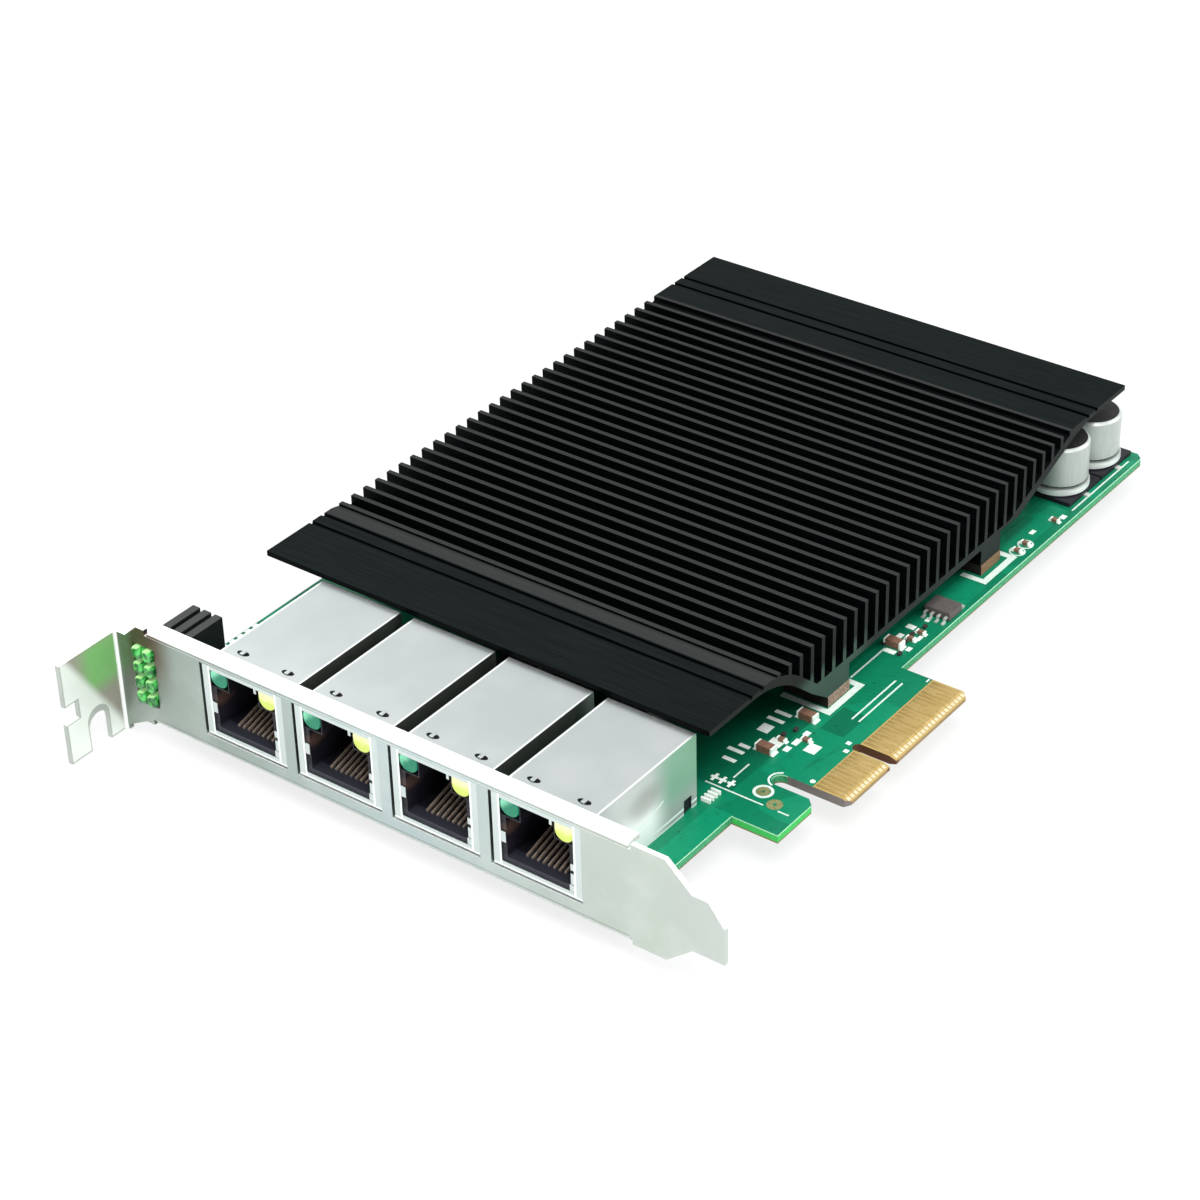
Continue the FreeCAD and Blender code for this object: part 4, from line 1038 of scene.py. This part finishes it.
portParts = {
    "tabX": (0.12, 0.32),
    "leftTab": (5.9, 6.8, 8.2, 10.2),
    "rightSpring": [(-6.8, -6.15, 8.6, 9.8), (-6.8, -6.15, 6.0, 8.0), (-6.8, -5.9, 4.62, 5.9)],
    "topFinger": (-2.95, -2.45, 15.4, 16.32),
    "tabRound": 0.06,
    "bumpX": (5.3, 6.4),
    "bumpY": 4.7,
    "bumpHalf": 0.36,
    "bumpRise": 0.26,
    "bumpSunk": 0.2,
    "bumpRound": 0.1,
}


def portFittings():
    # bent tabs and spring edges at each mouth, and the small bridge across each slot in the top
    mesh = bmesh.new()
    x0, x1 = portParts["tabX"]
    bumpX0, bumpX1 = portParts["bumpX"]
    half = portParts["bumpHalf"]
    for middle in portMiddles:
        for y0, y1, z0, z1 in (portParts["leftTab"], *portParts["rightSpring"], portParts["topFinger"]):
            softBlock(mesh, (x0, middle + y0, z0), (x1, middle + y1, z1), portParts["tabRound"])
        for side in (-1, 1):
            y = middle + side * portParts["bumpY"]
            softBlock(mesh, (bumpX0, y - half, portTop - portParts["bumpSunk"]),
                      (bumpX1, y + half, portTop + portParts["bumpRise"]), portParts["bumpRound"])
    piece("portFittings", mesh, "tin")


portFittings()

pipeShapes = {
    "link_lights": {"name": "linkPipes", "look": "green", "slot": "green_lens", "lift": 0.2,
                    "low": 1.5, "high": 0.6},
    "activity_lights": {"name": "activityPipes", "look": "yellow", "slot": "yellow_lens", "lift": 0.0,
                        "low": 1.6, "high": 0.25},
}
pipeFront = 0.12


def lightPipes(nodeName):
    # pipes rounded below and softly above, inside the box that their plain solids fill
    shape = pipeShapes[nodeName]
    low, high = cardBox(nodeName)
    wide = (high[1] - low[1]) - (portMiddles[0] - portMiddles[3])
    mesh = bmesh.new()
    for middle in portMiddles:
        y1 = high[1] - (portMiddles[0] - middle)
        long = lengthwise(block(mesh, (low[0], y1 - wide, low[2] + shape["lift"]), (high[0], y1, high[2])))
        below = [side for side in long if side.verts[0].co.z < (low[2] + high[2]) / 2]
        above = [side for side in long if side not in below]
        roundEdges(mesh, below, shape["low"], 7)
        roundEdges(mesh, [side for side in above if side.is_valid], shape["high"], 4)
    roundEdges(mesh, sidesAt(mesh, low[0]), pipeFront)
    made = piece(shape["name"], mesh, shape["look"])
    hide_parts(nodeName)


for nodeName in pipeShapes:
    lightPipes(nodeName)

statusShape = {"rows": 4, "columns": 2, "wide": 1.95, "high": 2.4, "round": 0.85, "face": 0.5}


def statusLenses():
    # rounded lenses in two columns, inside the box of their plain solids
    mesh = bmesh.new()
    low, high = cardBox("status_lights")
    wide, tall = statusShape["wide"], statusShape["high"]
    stepY = (high[1] - low[1] - wide) / (statusShape["columns"] - 1)
    stepZ = (high[2] - low[2] - tall) / (statusShape["rows"] - 1)
    for column in range(statusShape["columns"]):
        for row in range(statusShape["rows"]):
            y0, z0 = low[1] + column * stepY, low[2] + row * stepZ
            made = block(mesh, (low[0], y0, z0), (high[0], y0 + wide, z0 + tall))
            roundEdges(mesh, lengthwise(made), statusShape["round"], 5)
    roundEdges(mesh, sidesAt(mesh, low[0]), statusShape["face"], 4)
    made = piece("statusLenses", mesh, "status")
    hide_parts("status_lights")


statusLenses()
print("ports dressed")

underside = {
    "pinCount": 8,
    "pinPitch": 1.02,
    "pinRows": (14.6, 17.1),
    "pinRadius": 0.55,
    "pinTip": 0.22,
    "pinLong": 0.9,
    "pegX": (9.0, 24.5),
    "pegInset": 0.9,
    "pegRadius": 0.95,
    "pegTip": 0.44,
}


def solderPins():
    # the ports' pins and pegs, soldered below the board
    mesh = bmesh.new()
    low, high = boardLow - underside["pinLong"], boardLow
    for middle in portMiddles:
        for place in range(underside["pinCount"]):
            x = underside["pinRows"][place % 2]
            y = middle + (place - (underside["pinCount"] - 1) / 2) * underside["pinPitch"]
            disc(mesh, (x, y), underside["pinTip"], low, high, 12, underside["pinRadius"])
        for x in underside["pegX"]:
            for side in (-1, 1):
                y = middle + side * (portHalf - underside["pegInset"])
                disc(mesh, (x, y), underside["pegTip"], low, high, 16, underside["pegRadius"])
    piece("solderPins", mesh, "pad")


solderPins()

screwDrive = {"headRadius": 2.6, "reach": 1.35, "half": 0.24, "proud": 0.03, "sunk": 0.1}


def screwRecessShades():
    # dark cross blocks in the heads of the screws below the feet, a painted shade standing in for their
    # cross recesses
    mesh = bmesh.new()
    low, high = cardBox("sink_screws")
    radius, reach = screwDrive["headRadius"], screwDrive["reach"]
    level = (low[2] - screwDrive["proud"], low[2] + screwDrive["sunk"])
    for x in (low[0] + radius, high[0] - radius):
        for y in (low[1] + radius, high[1] - radius):
            cross(mesh, x, y, reach, reach, screwDrive["half"], *level)
    piece("screwRecessShades", mesh, "mould")


screwRecessShades()
print("underside dressed")

stageLook = {"floorLow": -0.0002, "floorSize": 3.0, "cameraShare": 0.80, "floorColor": (0.9, 0.9, 0.9)}


def makeFloor():
    mesh = bmesh.new()
    bmesh.ops.create_grid(mesh, x_segments=1, y_segments=1, size=stageLook["floorSize"])
    bmesh.ops.translate(mesh, vec=(0, 0, stageLook["floorLow"]), verts=mesh.verts)
    paint = Paint("floorWhite", Roughness=0.9)
    paint.feed(paint.shader.inputs["Base Color"], stageLook["floorColor"])
    seen = paint.add("ShaderNodeLightPath", {}, {}, "Is Camera Ray") * stageLook["cameraShare"]
    glow = paint.add("ShaderNodeEmission", {}, {"Strength": 1.0})
    surface = Wire(paint, paint.shader.outputs[0])
    mixed = paint.add("ShaderNodeMixShader", {}, [seen, surface, glow])
    paint.feed(paint.tree.nodes["Material Output"].inputs["Surface"], mixed)
    meshInScene("floor", mesh, paint.material)


makeFloor()

worldLook = {"color": (0.93, 0.96, 1.0), "strength": 0.55}


def makeWorld():
    # pale light on the card, and plain white where the camera or a reflection sees it
    world = bpy.data.worlds.new("studio")
    world.use_nodes = True
    graph = Graph(world.node_tree)
    back = graph.tree.nodes["Background"]
    graph.feed(back.inputs["Color"], worldLook["color"])
    graph.feed(back.inputs["Strength"], worldLook["strength"])
    white = graph.add("ShaderNodeBackground", {}, {"Color": (1.0, 1.0, 1.0), "Strength": 1.0})
    rays = [graph.add("ShaderNodeLightPath", {}, {}, name)
            for name in ("Is Camera Ray", "Is Glossy Ray", "Is Transmission Ray")]
    shows = rays[0].either(rays[1]).either(rays[2])
    mixed = graph.add("ShaderNodeMixShader", {}, [shows, Wire(graph, back.outputs[0]), white])
    graph.feed(graph.tree.nodes["World Output"].inputs["Surface"], mixed)
    bpy.context.scene.world = world


makeWorld()

lampSetup = [
    {"name": "keyLamp", "at": (-0.25, -0.25, 0.75), "size": 0.5, "power": 6.0},
    {"name": "fillLamp", "at": (0.55, -0.55, 0.45), "size": 0.6, "power": 3.0},
    {"name": "backLamp", "at": (0.1, 0.7, 0.6), "size": 0.6, "power": 3.0},
]


def makeLamps():
    for setup in lampSetup:
        lamp = bpy.data.lights.new(setup["name"], "AREA")
        lamp.size = setup["size"]
        lamp.energy = setup["power"]
        holder = inScene(setup["name"], lamp)
        holder.location = setup["at"]
        holder.rotation_euler = (-Vector(setup["at"])).to_track_quat("-Z", "Y").to_euler()


makeLamps()

# the focal length is in pixels of a frame 1200 wide, and the target is in the card's millimetres
cameraSetup = {"azimuth": -52.316, "elevation": 33.31, "roll": -1.62, "distance": 526.78,
               "target": (70.685, -44.799, 0.0), "focal": 3076.98, "frameWide": 1200, "sensor": 36.0,
               "clipStart": 0.01}


def makeCamera():
    azimuth = math.radians(cameraSetup["azimuth"])
    elevation = math.radians(cameraSetup["elevation"])
    roll = math.radians(cameraSetup["roll"])
    back = Vector((math.sin(azimuth) * math.cos(elevation), -math.cos(azimuth) * math.cos(elevation),
                   math.sin(elevation)))
    right = Vector((0, 0, 1)).cross(back).normalized()
    up = back.cross(right)
    turnedRight = math.cos(roll) * right + math.sin(roll) * up
    turnedUp = math.cos(roll) * up - math.sin(roll) * right
    data = bpy.data.cameras.new("photoCamera")
    data.sensor_width = cameraSetup["sensor"]
    data.lens = cameraSetup["focal"] / cameraSetup["frameWide"] * cameraSetup["sensor"]
    data.clip_start = cameraSetup["clipStart"]
    camera = inScene("photoCamera", data)
    place = placed(*cameraSetup["target"]) + back * cameraSetup["distance"] / 1000
    turn = Matrix((turnedRight, turnedUp, back)).transposed().to_4x4()
    camera.matrix_world = Matrix.Translation(place) @ turn
    bpy.context.scene.camera = camera


makeCamera()
bpy.context.scene.view_settings.view_transform = "Standard"
bpy.context.view_layer.update()
print("scene ready")
